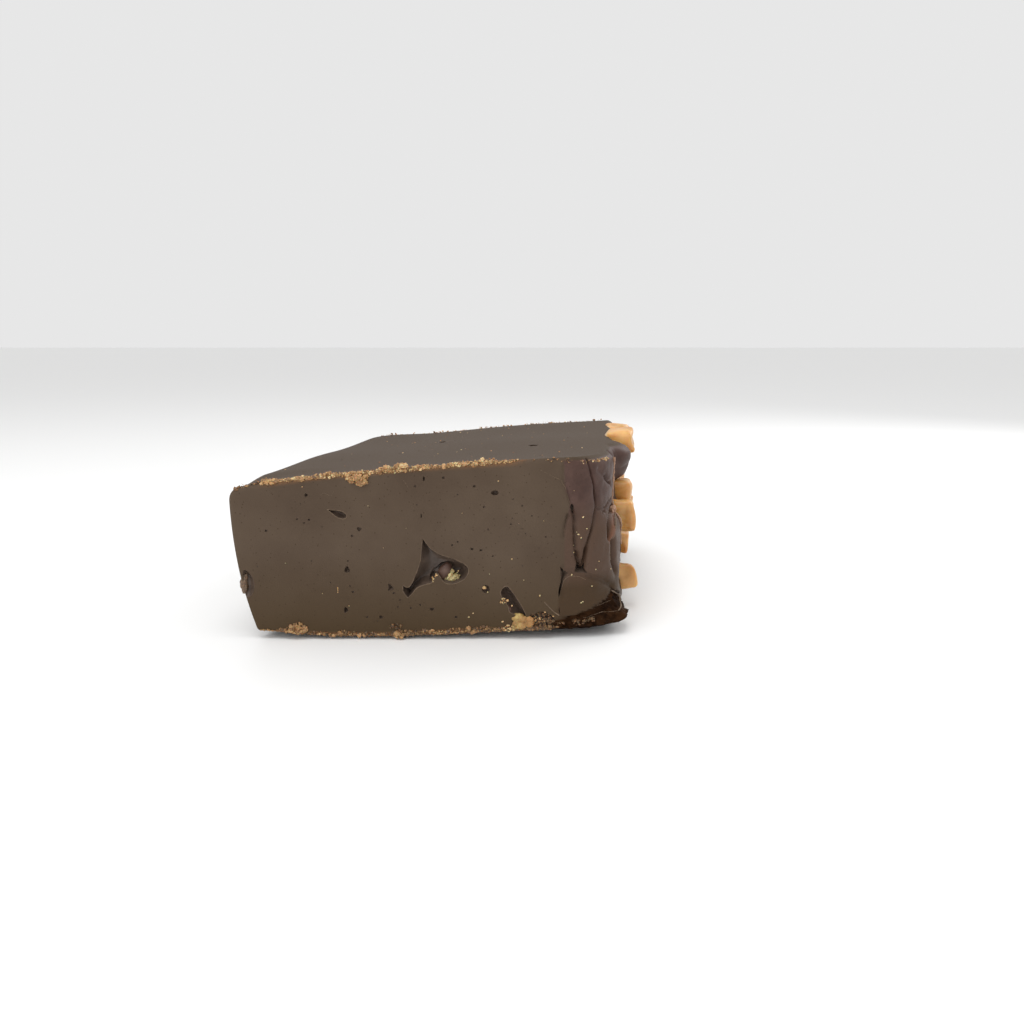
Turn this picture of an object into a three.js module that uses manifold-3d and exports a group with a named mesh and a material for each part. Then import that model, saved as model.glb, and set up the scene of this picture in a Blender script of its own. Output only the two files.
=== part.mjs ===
// A slice of poured chocolate fudge that lies on one of its cut sides.
//
// Millimetres, +Z up. The smooth front cut faces -Y. The loaf's poured top faces +X: it is folded and
// lumpy, and caramel pieces are pressed into it. The origin is in the middle of the underside.
// The slab starts as a straight box with a grid on it, which is bent into the real outline. Air pockets
// are then cut out of it, crumbs are joined to it, and every embedded piece gets a pocket of its own.

import * as THREE from 'three';
import { mergeVertices } from 'three/addons/utils/BufferGeometryUtils.js';
import Module from 'manifold-3d';

const wasm = await Module();
wasm.setup();

// ---------------------------------------------------------------- driving dimensions, mm

const DEPTH = 72; // front cut to back cut
const CUT_LEFT = -40; // left end of the front cut at its widest
const CUT_RIGHT = 19; // where the front cut meets the poured side
const SHOULDER_WIDTH = 10.3; // from there to the poured side, just behind its rounded shoulder
const SHOULDER_DEPTH = 10; // how far back the shoulder reaches
const SHOULDER_LEAN = 1.7; // how much narrower the shoulder is at the top
const LEAN_LOW = 19; // the lean starts and ends at these heights
const LEAN_HIGH = 23;
const LIP_OUT = 1.5; // the broken foot's lip: how far it stands out, its height and half its width
const LIP_AT = 4;
const LIP_SPREAD = 2;
const SKEW_LEFT = 13; // how far the left side moves right from front to back
const SKEW_RIGHT = 8.5; // the same for the poured side
const HEIGHT_LEFT = 26.5;
const HEIGHT_RIGHT = 33.2;
const HEIGHT_POWER = 0.5; // the top climbs quickly at the left, then slowly
const MOUND = 1; // how far the top's left part rises behind the front cut
const LEFT_TUCK = 4.3; // how far the left side tucks in at its foot
const TUCK_POWER = 2.2;
const FOOT_DEPTH = 2.6; // depth of the shoulder at the broken foot
const FOOT_LOW = 3; // the foot's full height
const FOOT_HIGH = 8.5; // where the foot has faded into the shoulder
const LIFT_FRONT = 0.45; // how far the front edge stands off the table
const LIFT_LEFT = 0.95; // how much more it does so at the left end, to the right, and at the far right
const LIFT_RISE = 1.2;
const LIFT_RIGHT = 0.85;
const LIFT_REACH = 14; // how far back those lifts go

const CUT_RADIUS = 0.8; // edges left by the knife
const LEFT_RADIUS = 1.8; // the worn top left edge
const POURED_RADIUS = 2.4; // edges of the poured side
const FIT_GAP = 0.3; // between an embedded piece and its pocket

// The straight box that is bent into the slab.
const LENGTH = 70;
const RISE = 30;
const BACK = DEPTH / 2;

const COLOURS = {
  fudge: 0x5c4e43,
  caramel: 0xc8843c,
  biscuit: 0xb39458,
  nut: 0x8a735c,
};

// ---------------------------------------------------------------- small helpers

/** A repeatable source of numbers from 0 to 1. */
function seeded(seed) {
  let state = seed >>> 0;
  return () => {
    state = (state + 0x6d2b79f5) >>> 0;
    let t = Math.imul(state ^ (state >>> 15), 1 | state);
    t = (t + Math.imul(t ^ (t >>> 7), 61 | t)) ^ t;
    return ((t ^ (t >>> 14)) >>> 0) / 4294967296;
  };
}

const clamp = THREE.MathUtils.clamp;
const mix = THREE.MathUtils.lerp;

/** 0 below 0, 1 above 1, and a soft step between. */
function soft(v) {
  const s = clamp(v, 0, 1);
  return s * s * (3 - 2 * s);
}

/** Gentle uneven rises and dips between -1 and 1, about `size` across. */
function unevenness(x, y, z, size) {
  const first = Math.sin((1.9 * x) / size + 1.4 * Math.sin((1.3 * y) / size));
  const second = Math.sin((2.1 * y + 1.2 * z) / size + 2);
  const third = Math.sin((1.7 * z - 0.8 * x) / size + 4);
  return (first + second + third) / 3;
}

/** Grid lines along one side of the box: close together at both ends, wider between them. */
function gridLines(length, startStep, endStep, growth, widestStep) {
  const grow = (firstStep) => {
    const lines = [0];
    let step = firstStep;
    while (lines.at(-1) + step < length / 2) {
      lines.push(lines.at(-1) + step);
      step = Math.min(step * growth, widestStep);
    }
    return lines;
  };
  const toEnd = grow(endStep).map((v) => length - v);
  return [...grow(startStep), ...toEnd.reverse()];
}

/** A closed mesh as a solid that can be joined and cut. */
function solid(geometry) {
  const bare = geometry.clone();
  bare.deleteAttribute('normal');
  bare.deleteAttribute('uv');
  const merged = mergeVertices(bare, 1e-5);
  return new wasm.Manifold(new wasm.Mesh({
    numProp: 3,
    vertProperties: new Float32Array(merged.attributes.position.array),
    triVerts: new Uint32Array(merged.index.array),
  }));
}

/** A solid back as a mesh's geometry. */
function geometryOf(manifold) {
  const mesh = manifold.getMesh();
  const geometry = new THREE.BufferGeometry();
  geometry.setAttribute('position', new THREE.BufferAttribute(mesh.vertProperties, 3));
  geometry.setIndex(new THREE.BufferAttribute(mesh.triVerts, 1));
  geometry.computeVertexNormals();
  return geometry;
}

/** Moves every vertex of a geometry by a function of its position. */
function reshape(geometry, move) {
  const position = geometry.attributes.position;
  const point = new THREE.Vector3();
  for (let i = 0; i < position.count; i += 1) {
    point.fromBufferAttribute(position, i);
    const moved = move(point);
    position.setXYZ(i, moved.x, moved.y, moved.z);
  }
  return geometry;
}

// ---------------------------------------------------------------- the slab's outline

/** How far back the shoulder reaches at a height. */
function shoulderReach(z) {
  return mix(FOOT_DEPTH, SHOULDER_DEPTH, soft((z - FOOT_LOW) / (FOOT_HIGH - FOOT_LOW)));
}

/** The shoulder's full width at a height: it leans in at the top and has a lip at the foot. */
function shoulderWidth(z) {
  const lean = SHOULDER_LEAN * soft((z - LEAN_LOW) / (LEAN_HIGH - LEAN_LOW));
  return SHOULDER_WIDTH - lean + LIP_OUT * Math.exp(-(((z - LIP_AT) / LIP_SPREAD) ** 2));
}

/** The left side's x at a depth and height. */
function leftSide(depth, z) {
  const tuck = Math.pow(clamp(1 - z / HEIGHT_LEFT, 0, 1), TUCK_POWER);
  return CUT_LEFT + (SKEW_LEFT * depth) / DEPTH + LEFT_TUCK * tuck;
}

/** The poured side's x at a depth and height, without its folds. */
function rightSide(depth, z) {
  const left = 1 - clamp(depth / shoulderReach(z), 0, 1);
  return CUT_RIGHT + shoulderWidth(z) * Math.sqrt(1 - left * left) + (SKEW_RIGHT * depth) / DEPTH;
}

/** The top's height at a share of the length. */
function topHeight(share, depth) {
  const mound = MOUND * soft((depth - 3) / 9) * soft((0.3 - share) / 0.3);
  return mix(HEIGHT_LEFT, HEIGHT_RIGHT, Math.pow(clamp(share, 0, 1), HEIGHT_POWER)) + mound;
}

/** How far the underside stands off the table. */
function lift(share, depth) {
  const near = soft(1 - depth / LIFT_REACH);
  const left = LIFT_LEFT * soft((0.24 - share) / 0.24);
  const rise = LIFT_RISE * soft((share - 0.35) / 0.6);
  const right = LIFT_RIGHT * soft((share - 0.93) / 0.07);
  return near * (LIFT_FRONT + left + rise + right);
}

/** Rounds the straight box's edges, more where the loaf was poured or is worn. */
function roundedBoxPoint(point) {
  const poured = soft((point.x - LENGTH + 8) / 8);
  const worn = soft((8 - point.x) / 8) * soft(point.z / RISE - 0.3);
  const radius = CUT_RADIUS + (POURED_RADIUS - CUT_RADIUS) * poured + (LEFT_RADIUS - CUT_RADIUS) * worn;
  const inner = new THREE.Vector3(
    clamp(point.x, radius, LENGTH - radius),
    clamp(point.y, CUT_RADIUS, DEPTH - CUT_RADIUS),
    clamp(point.z, radius, RISE - radius),
  );
  const away = point.clone().sub(inner);
  const reach = new THREE.Vector3(radius, CUT_RADIUS, radius);
  const scaled = away.clone().divide(reach);
  if (scaled.length() < 1) return point.clone();
  return inner.add(scaled.normalize().multiply(reach));
}

/** Bends a point of the straight box into the slab, before the poured side gets its folds. */
function bend(point) {
  const share = point.x / LENGTH;
  const low = lift(share, point.y);
  const z = low + (topHeight(share, point.y) - low) * (point.z / RISE);
  const x = mix(leftSide(point.y, z), rightSide(point.y, z), share);
  return new THREE.Vector3(x, point.y - BACK, z);
}

// ---------------------------------------------------------------- the poured side

// Folds are creases that the fudge made as it was poured and turned. Those on the shoulder are placed
// by x and z, and those on the flat flank by depth and z.
const SHOULDER_FOLDS = [
  {
    path: [[22.6, 33.4], [23.8, 29.8], [24.4, 26.9], [24.8, 23.6], [24.0, 20], [22.9, 16.5], [22.3, 12.8]],
    depth: 1.3,
    width: 0.7,
  },
  { path: [[20.5, 24.4], [20.9, 22], [21.0, 17.7], [21.4, 15.6], [22.2, 12.6]], depth: 1.2, width: 0.65 },
  {
    path: [[19.6, 11], [20.9, 11.9], [22.2, 11.9], [24.8, 10.8], [26.8, 9.6], [28.5, 8.1]],
    depth: 1.1,
    width: 0.8,
  },
  { path: [[19.1, 13.4], [19.4, 12.2], [19.1, 10.4], [19.1, 8]], depth: 1.1, width: 0.55 },
  { path: [[25.4, 31], [26.6, 29.2], [27.6, 27.6]], depth: 0.8, width: 0.6 },
  { path: [[27.8, 22.6], [27.2, 20.2], [27.4, 17.6]], depth: 1.1, width: 0.55 },
  { path: [[28.6, 16.9], [28.6, 13.9], [29.2, 11.4]], depth: 0.9, width: 0.7 },
];
const FLANK_FOLDS = [
  { path: [[13, 33], [15, 26], [14, 17], [18, 10]], depth: 1.6, width: 1.2 },
  { path: [[29, 32], [26, 23], [29, 15], [27, 7]], depth: 1.7, width: 1.4 },
  { path: [[38, 33], [42, 27], [40, 18], [43, 9]], depth: 1.5, width: 1.3 },
  { path: [[57, 32], [54, 24], [56, 14], [52, 6]], depth: 1.7, width: 1.4 },
  { path: [[10, 9.3], [22, 8], [34, 9.5], [48, 7.5]], depth: 1.2, width: 1.2 },
];
// Lumps of set fudge on the flank: depth, z, radius and how far each stands out.
const LUMPS = [
  { depth: 25, z: 30.4, radius: 5.4, out: 3.6 },
  { depth: 50, z: 11, radius: 6, out: 1.9 },
  { depth: 65, z: 24, radius: 5.5, out: 2.1 },
];

/** A point on the bare shoulder at an x and z, found by halving the depth that it lies in. */
function onShoulder(x, z) {
  let near = 0;
  let far = shoulderReach(z);
  for (let i = 0; i < 24; i += 1) {
    const middle = (near + far) / 2;
    if (rightSide(middle, z) < x) near = middle;
    else far = middle;
  }
  return new THREE.Vector3(rightSide(near, z), near - BACK, z);
}

/** A point on the bare flank at a depth and z. */
function onFlank(depth, z) {
  return new THREE.Vector3(rightSide(depth, z), depth - BACK, z);
}

/** Points about 1 mm apart along a fold. */
function foldPoints(fold, place) {
  const curve = new THREE.CatmullRomCurve3(fold.path.map(([along, z]) => place(along, z)));
  return { ...fold, points: curve.getSpacedPoints(Math.ceil(curve.getLength())) };
}

const FOLDS = [
  ...SHOULDER_FOLDS.map((fold) => foldPoints(fold, onShoulder)),
  ...FLANK_FOLDS.map((fold) => foldPoints(fold, onFlank)),
];

/** How far the poured side stands out (or in, below 0) at a point of the bent slab. */
function pouredRelief(point) {
  let out = 0.35 * unevenness(point.x, point.y, point.z, 9);
  for (const fold of FOLDS) {
    const nearest = Math.min(...fold.points.map((on) => on.distanceTo(point)));
    out -= fold.depth * Math.exp(-Math.pow(nearest / fold.width, 1.6));
  }
  for (const lump of LUMPS) {
    const away = Math.hypot(point.y + BACK - lump.depth, point.z - lump.z) / lump.radius;
    out += lump.out * clamp(1 - away * away, 0, 1) ** 0.8;
  }
  return out;
}

/** The direction in which the poured side faces at a depth, in plan. */
function pouredFacing(depth, z) {
  const step = 0.05;
  const ahead = rightSide(depth + step, z) - rightSide(Math.max(depth - step, 0), z);
  return new THREE.Vector3(depth < step ? step : 2 * step, -ahead, 0).normalize();
}

/** A point of the finished slab for a point of the straight box. */
function slabPoint(boxPoint) {
  const rounded = roundedBoxPoint(boxPoint);
  const bent = bend(rounded);
  const share = soft((rounded.x - LENGTH + 3) / 3);
  if (share > 0) {
    const facing = pouredFacing(rounded.y, bent.z);
    bent.addScaledVector(facing, share * pouredRelief(bent));
  }
  const cutWave = 0.16 * unevenness(bent.x, 0, bent.z, 14);
  if (rounded.y < CUT_RADIUS) bent.y += cutWave * (1 - share);
  if (rounded.z > RISE - 1) bent.z += 0.3 * unevenness(bent.x, bent.y, 0, 13);
  return bent;
}

/** The slab with its folds, before anything is cut out of it. */
function slab() {
  const along = gridLines(LENGTH, 0.35, 0.6, 2.1, 9);
  const back = gridLines(DEPTH, 0.35, 0.6, 1.34, 4.2);
  const up = gridLines(RISE, 0.35, 0.35, 2.1, 1.9);
  const counts = [along.length - 1, back.length - 1, up.length - 1];
  const box = new THREE.BoxGeometry(1, 1, 1, ...counts);
  const line = (lines, v) => lines[Math.round((v + 0.5) * (lines.length - 1))];
  return reshape(box, (p) => slabPoint(
    new THREE.Vector3(line(along, p.x), line(back, p.y), line(up, p.z)),
  ));
}

// ---------------------------------------------------------------- air pockets and hollows

// Outlines on the front cut, as x and z. Each is joined by a smooth curve, and a point given as sharp
// stays a corner.
const CAVITY = {
  corners: [[-5.8, 18.7], [-9.5, 10.2], [-8.7, 7.8], [-3.2, 12.2]],
  outline: [
    [-5.8, 18.7], [-6.1, 16.3], [-6.4, 14.4], [-7.1, 12.4], [-8.0, 10.3], [-8.8, 9.8], [-9.5, 10.2],
    [-9.5, 8.9], [-8.7, 7.8], [-7.8, 8.7], [-6.9, 9.7], [-5.5, 10.3], [-4.3, 10.6], [-3.7, 11.5],
    [-3.2, 12.2], [-2.7, 11.3], [-1.9, 10.5], [-0.3, 10.4], [1.5, 11.3], [2.2, 12.8], [1.5, 14.0],
    [-0.5, 15.0], [-2.6, 15.8], [-4.3, 16.8],
  ],
  centre: [-2.9, 13],
  depth: 5,
};
const ARCH = {
  corners: [[12.8, 3.9]],
  outline: [
    [7.9, 8.5], [8.3, 9.6], [9.2, 9.9], [10.1, 8.9], [11.6, 6.4], [12.8, 3.9], [9.8, 4.9], [9.2, 6.2],
    [8.8, 7.2],
  ],
  centre: [10.2, 6.8],
  depth: 2.2,
};
const CRUMBLY_HOLLOW = {
  corners: [],
  outline: [
    [13.0, 4.6], [13.6, 3.2], [14.6, 2.4], [16.4, 2.5], [17.3, 3.4], [16.7, 4.5], [15.2, 5.0],
  ],
  centre: [15.2, 3.6],
  depth: 1.8,
};
// A long air slit and the larger bubbles: x, z, half width, half height, turn in degrees, depth.
// The last one is the hollow beside the nut.
const SLIT = { x: -20.7, z: 23.1, halfWidth: 1.95, halfHeight: 0.62, turn: -17, depth: 1.5 };
const BUBBLES = [
  { x: 7.0, z: 26.9, halfWidth: 0.7, halfHeight: 0.45, turn: -20, depth: 0.8 },
  { x: -19.4, z: 13.0, halfWidth: 0.5, halfHeight: 0.62, turn: 0, depth: 0.8 },
  { x: -11.8, z: 9.8, halfWidth: 0.62, halfHeight: 0.58, turn: 25, depth: 0.9 },
  { x: -19.9, z: 5.5, halfWidth: 0.45, halfHeight: 0.55, turn: 0, depth: 0.7 },
  { x: -17.0, z: 20.4, halfWidth: 0.45, halfHeight: 0.42, turn: 40, depth: 0.6 },
  { x: 5.3, z: 9.4, halfWidth: 0.75, halfHeight: 0.8, turn: 0, depth: 0.9 },
  { x: -4.4, z: 5.7, halfWidth: 0.45, halfHeight: 0.4, turn: 0, depth: 0.6 },
  { x: -36.3, z: 10.3, halfWidth: 1.1, halfHeight: 2.1, turn: 8, depth: 0.9 },
];

// Air pockets in the top and the back cut: place on the straight box, half sizes, turn in degrees.
const OTHER_POCKETS = [
  { at: [29, 45, RISE], size: [2.3, 1.0, 1.1], turn: 28 },
  { at: [53, 24, RISE], size: [1.1, 0.8, 0.8], turn: -35 },
  { at: [43, DEPTH, 16.5], size: [3.1, 1.8, 1.7], turn: 18 },
  { at: [20, DEPTH, 9.5], size: [1.0, 0.9, 1.2], turn: -30 },
];

/** A smooth closed outline through its points, with corners kept sharp. */
function outlinePoints(hollow) {
  const isCorner = (p) => hollow.corners.some((c) => c[0] === p[0] && c[1] === p[1]);
  const count = hollow.outline.length;
  const points = [];
  hollow.outline.forEach((start, i) => {
    const end = hollow.outline[(i + 1) % count];
    const before = isCorner(start) ? start : hollow.outline[(i + count - 1) % count];
    const after = isCorner(end) ? end : hollow.outline[(i + 2) % count];
    const path = [before, start, end, after].map(([x, z]) => new THREE.Vector3(x, z, 0));
    const curve = new THREE.CatmullRomCurve3(path, false, 'catmullrom', 0.5);
    points.push(new THREE.Vector2(start[0], start[1]));
    const middle = curve.getPoint(0.5);
    points.push(new THREE.Vector2(middle.x, middle.y));
  });
  return points;
}

/** A cutter for a hollow in the front cut: its outline shrinks towards its centre as it goes in. */
function hollowCutter(hollow) {
  const outline = outlinePoints(hollow);
  if (THREE.ShapeUtils.isClockWise(outline)) outline.reverse();
  const layers = [
    { deep: -1.5, scale: 1.04 },
    { deep: 0, scale: 1 },
    { deep: 0.45, scale: 0.88 },
    { deep: 0.75, scale: 0.6 },
    { deep: 1, scale: 0.25 },
  ];
  const [cx, cz] = hollow.centre;
  const positions = [];
  for (const { deep, scale } of layers) {
    const y = -BACK + (deep < 0 ? deep : deep * hollow.depth);
    for (const p of outline) positions.push(cx + (p.x - cx) * scale, y, cz + (p.y - cz) * scale);
  }
  const around = outline.length;
  const faces = [];
  for (let layer = 0; layer + 1 < layers.length; layer += 1) {
    for (let i = 0; i < around; i += 1) {
      const a = layer * around + i;
      const b = layer * around + ((i + 1) % around);
      faces.push(a, a + around, b, b, a + around, b + around);
    }
  }
  const last = (layers.length - 1) * around;
  for (const [a, b, c] of THREE.ShapeUtils.triangulateShape(outline, [])) {
    faces.push(a, b, c);
    faces.push(last + a, last + c, last + b);
  }
  const geometry = new THREE.BufferGeometry();
  geometry.setAttribute('position', new THREE.Float32BufferAttribute(positions, 3));
  geometry.setIndex(faces);
  return geometry;
}

/** A cutter for a bubble: a flattened ball whose middle lies in the front cut. */
function bubbleCutter({ x, z, halfWidth, halfHeight, turn, depth }) {
  return new THREE.IcosahedronGeometry(1, 1)
    .scale(halfWidth, depth, halfHeight)
    .rotateY(-THREE.MathUtils.degToRad(turn))
    .translate(x, -BACK + 0.1, z);
}

/** A cutter for a pocket in the top or the back cut. */
function pocketCutter({ at, size, turn }) {
  const middle = slabPoint(new THREE.Vector3(...at));
  return new THREE.IcosahedronGeometry(1, 1)
    .scale(...size)
    .rotateY(THREE.MathUtils.degToRad(at[2] === RISE ? 0 : turn))
    .rotateZ(THREE.MathUtils.degToRad(at[2] === RISE ? turn : 0))
    .translate(...middle.toArray());
}

/** A cutter for the slit: a bubble drawn out to a point at its left end. */
function slitCutter() {
  const drawnOut = (p) => {
    const thin = mix(0.15, 1, soft((p.x + 1) / 1.3));
    return new THREE.Vector3(p.x, p.y * thin, p.z * thin);
  };
  return reshape(new THREE.IcosahedronGeometry(1, 2), drawnOut)
    .scale(SLIT.halfWidth, SLIT.depth, SLIT.halfHeight)
    .rotateY(-THREE.MathUtils.degToRad(SLIT.turn))
    .translate(SLIT.x, -BACK + 0.1, SLIT.z);
}

// ---------------------------------------------------------------- embedded pieces

// Caramel pieces on the poured side: depth and z of the middle, size along the depth, height and
// thickness, how far the middle stands out from the flank, and a turn in degrees.
const CARAMELS = [
  { depth: 24, z: 24.2, size: [5.2, 4.0, 5.2], out: 1.2, turn: 6 },
  { depth: 18, z: 19.1, size: [5.6, 6.4, 5.6], out: 0.5, turn: -5 },
  { depth: 27, z: 12.5, size: [5.2, 5.2, 4.4], out: -0.1, turn: 12 },
  { depth: 20, z: 6.7, size: [5.6, 5.8, 5.6], out: 0.7, turn: -10 },
  { depth: 36, z: 32.2, size: [7.2, 5.2, 7.4], out: 1.0, turn: 6 },
  { depth: 37, z: 20.6, size: [7.4, 5.6, 5.0], out: 0.4, turn: 32 },
  { depth: 37, z: 12.8, size: [5.2, 4.4, 4.4], out: 0.2, turn: -25 },
  { depth: 46, z: 24.5, size: [6.6, 6.0, 5.2], out: 0.5, turn: 15 },
  { depth: 48, z: 15.8, size: [6.0, 4.8, 4.6], out: 0.9, turn: -35 },
  { depth: 57, z: 31.2, size: [6.8, 5.2, 6.8], out: 0.8, turn: 10 },
  { depth: 60, z: 17.5, size: [6.8, 5.4, 4.8], out: 0.2, turn: -12 },
  { depth: 62, z: 8.0, size: [5.8, 5.2, 4.6], out: 0.2, turn: 28 },
];

// Pieces that show in the cut faces: middle, size and turn about Y in degrees.
const BISCUIT_LUMP = { middle: [11.8, -35.3, 3.3], size: [4.2, 3.4, 3.3], turn: -12 };
const BISCUIT_BIT = { middle: [-0.8, -33.9, 11.8], size: [3.0, 2.4, 2.5], turn: 10 };
const NUT = { middle: [-37.5, -35.4, 10.3], size: [2.1, 3.0, 4.2], turn: 6 };

/** An uneven chunk with rounded corners, about 1 across each way. */
function chunkGeometry(seed, detail, squareness, roughness) {
  const draw = seeded(seed);
  const shift = [draw() * 9, draw() * 9, draw() * 9];
  return reshape(new THREE.IcosahedronGeometry(0.5, detail), (p) => {
    const square = (v) => Math.sign(v) * Math.pow(Math.abs(v) * 2, squareness) * 0.5;
    const rough = 1 + roughness * unevenness(p.x + shift[0], p.y + shift[1], p.z + shift[2], 0.45);
    return new THREE.Vector3(square(p.x), square(p.y), square(p.z)).multiplyScalar(rough);
  });
}

/** The chunk at its size and place, and the same grown by the fit gap for its pocket. */
function embedded(unit, size, turnAxis, turn, facing, middle) {
  const place = (grown) => unit.clone()
    .scale(size[0] + grown, size[1] + grown, size[2] + grown)
    .applyMatrix4(new THREE.Matrix4().makeRotationAxis(turnAxis, THREE.MathUtils.degToRad(turn)))
    .applyMatrix4(new THREE.Matrix4().makeRotationZ(facing))
    .translate(...middle);
  return { piece: place(0), pocket: place(2.4 * FIT_GAP), middle, radius: Math.max(...size) / 2 };
}

/** A caramel piece pressed into the flank. */
function caramelPiece({ depth, z, size, out, turn }, index) {
  const facing = pouredFacing(depth, z);
  const middle = onFlank(depth, z).addScaledVector(facing, out);
  const unit = chunkGeometry(100 + index, 1, 0.72, 0.09);
  const [along, up, thick] = size;
  const angle = Math.atan2(facing.y, facing.x);
  const xAxis = new THREE.Vector3(1, 0, 0);
  return embedded(unit, [thick, along, up], xAxis, turn, angle, middle.toArray());
}

/** A biscuit or nut piece in a cut face. */
function cutPiece({ middle, size, turn }, seed) {
  const unit = chunkGeometry(seed, 1, 0.85, 0.16);
  return embedded(unit, size, new THREE.Vector3(0, 1, 0), turn, 0, middle);
}

// ---------------------------------------------------------------- crumbs along the knife's edges

/** One crumb: a squashed little ball with flat faces. */
function crumb(middle, size, draw) {
  const squash = () => 0.7 + 0.5 * draw();
  const geometry = new THREE.IcosahedronGeometry(size / 2, 0)
    .scale(squash(), squash(), squash())
    .rotateX(draw() * Math.PI)
    .rotateZ(draw() * Math.PI)
    .translate(...middle.toArray());
  return reshape(geometry, (p) => new THREE.Vector3(p.x, p.y, Math.max(p.z, 0.05)));
}

// Rows of crumbs on the edges of the box: where each starts and ends along the length, how many there
// are, whether they lie on the front or the back, and on the top or the foot.
const CRUMB_ROWS = [
  { from: 10, to: 24, count: 4, front: true, top: true },
  { from: 29, to: 58, count: 13, front: true, top: true },
  { from: 59, to: 69, count: 2, front: true, top: true },
  { from: 6, to: 50, count: 10, front: true, top: false },
  { from: 6, to: 62, count: 6, front: false, top: true },
];
// Clumps of crumbs: place along the length, height share above (or below) the edge, spread and count.
const CLUMPS = [
  { along: 27.3, drop: 1.7, spread: 2.2, count: 6, top: true },
  { along: 13.7, drop: 1.1, spread: 1.8, count: 4, top: false },
  { along: 22.6, drop: 0.7, spread: 0.8, count: 2, top: false },
  { along: 34.8, drop: 1.0, spread: 1.2, count: 4, top: false },
];
const CRUMB_SIZE = [0.9, 1.5]; // smallest and largest
const CRUMB_SINK = 0.32; // how far a crumb's middle lies inside the edge

/** The crumbs of all rows and clumps, as middles and sizes. */
function crumbPlaces(draw) {
  const places = [];
  const edgePoint = (along, front, top, drop, scatter) => {
    const y = front ? CRUMB_SINK : DEPTH - CRUMB_SINK;
    const z = top ? RISE - CRUMB_SINK - drop : CRUMB_SINK + drop;
    const jitter = (draw() - 0.5) * scatter;
    return slabPoint(new THREE.Vector3(along, y, z + jitter));
  };
  for (const row of CRUMB_ROWS) {
    for (let i = 0; i < row.count; i += 1) {
      const along = mix(row.from, row.to, (i + draw()) / row.count);
      const middle = edgePoint(along, row.front, row.top, 0, 0.3);
      places.push({ middle, size: mix(...CRUMB_SIZE, draw() * draw()) });
    }
  }
  for (const clump of CLUMPS) {
    for (let i = 0; i < clump.count; i += 1) {
      const along = clump.along + (draw() - 0.5) * 2 * clump.spread;
      const middle = edgePoint(along, true, clump.top, clump.drop * draw(), 0.3);
      middle.y -= 0.25 * draw();
      places.push({ middle, size: mix(1.1, 1.9, draw()) });
    }
  }
  return places;
}

// ---------------------------------------------------------------- assembly

const caramels = CARAMELS.map(caramelPiece);
const biscuitLump = cutPiece(BISCUIT_LUMP, 31);
const biscuitBit = cutPiece(BISCUIT_BIT, 32);
const nut = cutPiece(NUT, 33);
const allPieces = [...caramels, biscuitLump, biscuitBit, nut];

/** The slab with its air pockets, its crumbs and a pocket for every embedded piece. */
function fudgeGeometry() {
  let block = solid(slab());
  const cutters = [
    ...[CAVITY, ARCH, CRUMBLY_HOLLOW].map(hollowCutter),
    slitCutter(),
    ...BUBBLES.map(bubbleCutter),
    ...OTHER_POCKETS.map(pocketCutter),
  ];
  for (const cutter of cutters) block = block.subtract(solid(cutter));
  const draw = seeded(7);
  for (const { middle, size } of crumbPlaces(draw)) {
    const isClear = ({ middle: other, radius }) => (
      middle.distanceTo(new THREE.Vector3(...other)) > radius + size / 2 + FIT_GAP
    );
    if (allPieces.every(isClear)) block = block.add(solid(crumb(middle, size, draw)));
  }
  for (const { pocket } of allPieces) block = block.subtract(solid(pocket));
  return geometryOf(block);
}

/** A named mesh with its own material. */
function namedMesh(name, geometry, colour, roughness) {
  const material = new THREE.MeshStandardMaterial({ color: colour, roughness, metalness: 0 });
  const mesh = new THREE.Mesh(geometry, material);
  mesh.name = name;
  return mesh;
}

const slice = new THREE.Group();
slice.add(namedMesh('fudge', fudgeGeometry(), COLOURS.fudge, 0.62));
caramels.forEach(({ piece }, i) => {
  const name = `caramel_${String(i + 1).padStart(2, '0')}`;
  slice.add(namedMesh(name, piece, COLOURS.caramel, 0.3));
});
slice.add(namedMesh('biscuit_lump', biscuitLump.piece, COLOURS.biscuit, 0.8));
slice.add(namedMesh('biscuit_bit', biscuitBit.piece, COLOURS.biscuit, 0.8));
slice.add(namedMesh('nut', nut.piece, COLOURS.nut, 0.7));

// The origin goes to the middle of the underside.
const bounds = new THREE.Box3().setFromObject(slice, true);
const middleOfBox = bounds.getCenter(new THREE.Vector3());
slice.position.set(-middleOfBox.x, -middleOfBox.y, -bounds.min.z);

export default slice;
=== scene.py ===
# %% [markdown]
# # A slice of chocolate fudge
# This lesson dresses a imported model of one slice of fudge. The slice lies on a cut side: its smooth
# front was cut by a knife, and its right side is the loaf's own poured top, folded and lumpy, with
# caramel pieces pressed into it. The imported model gives the true sizes, so it is loaded first, and its
# box is kept, so that no finished point leaves it.

# %% Load the imported frame
import math
import random

import bmesh
import bpy
import numpy as np
from mathutils import Matrix, Vector, noise


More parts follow.
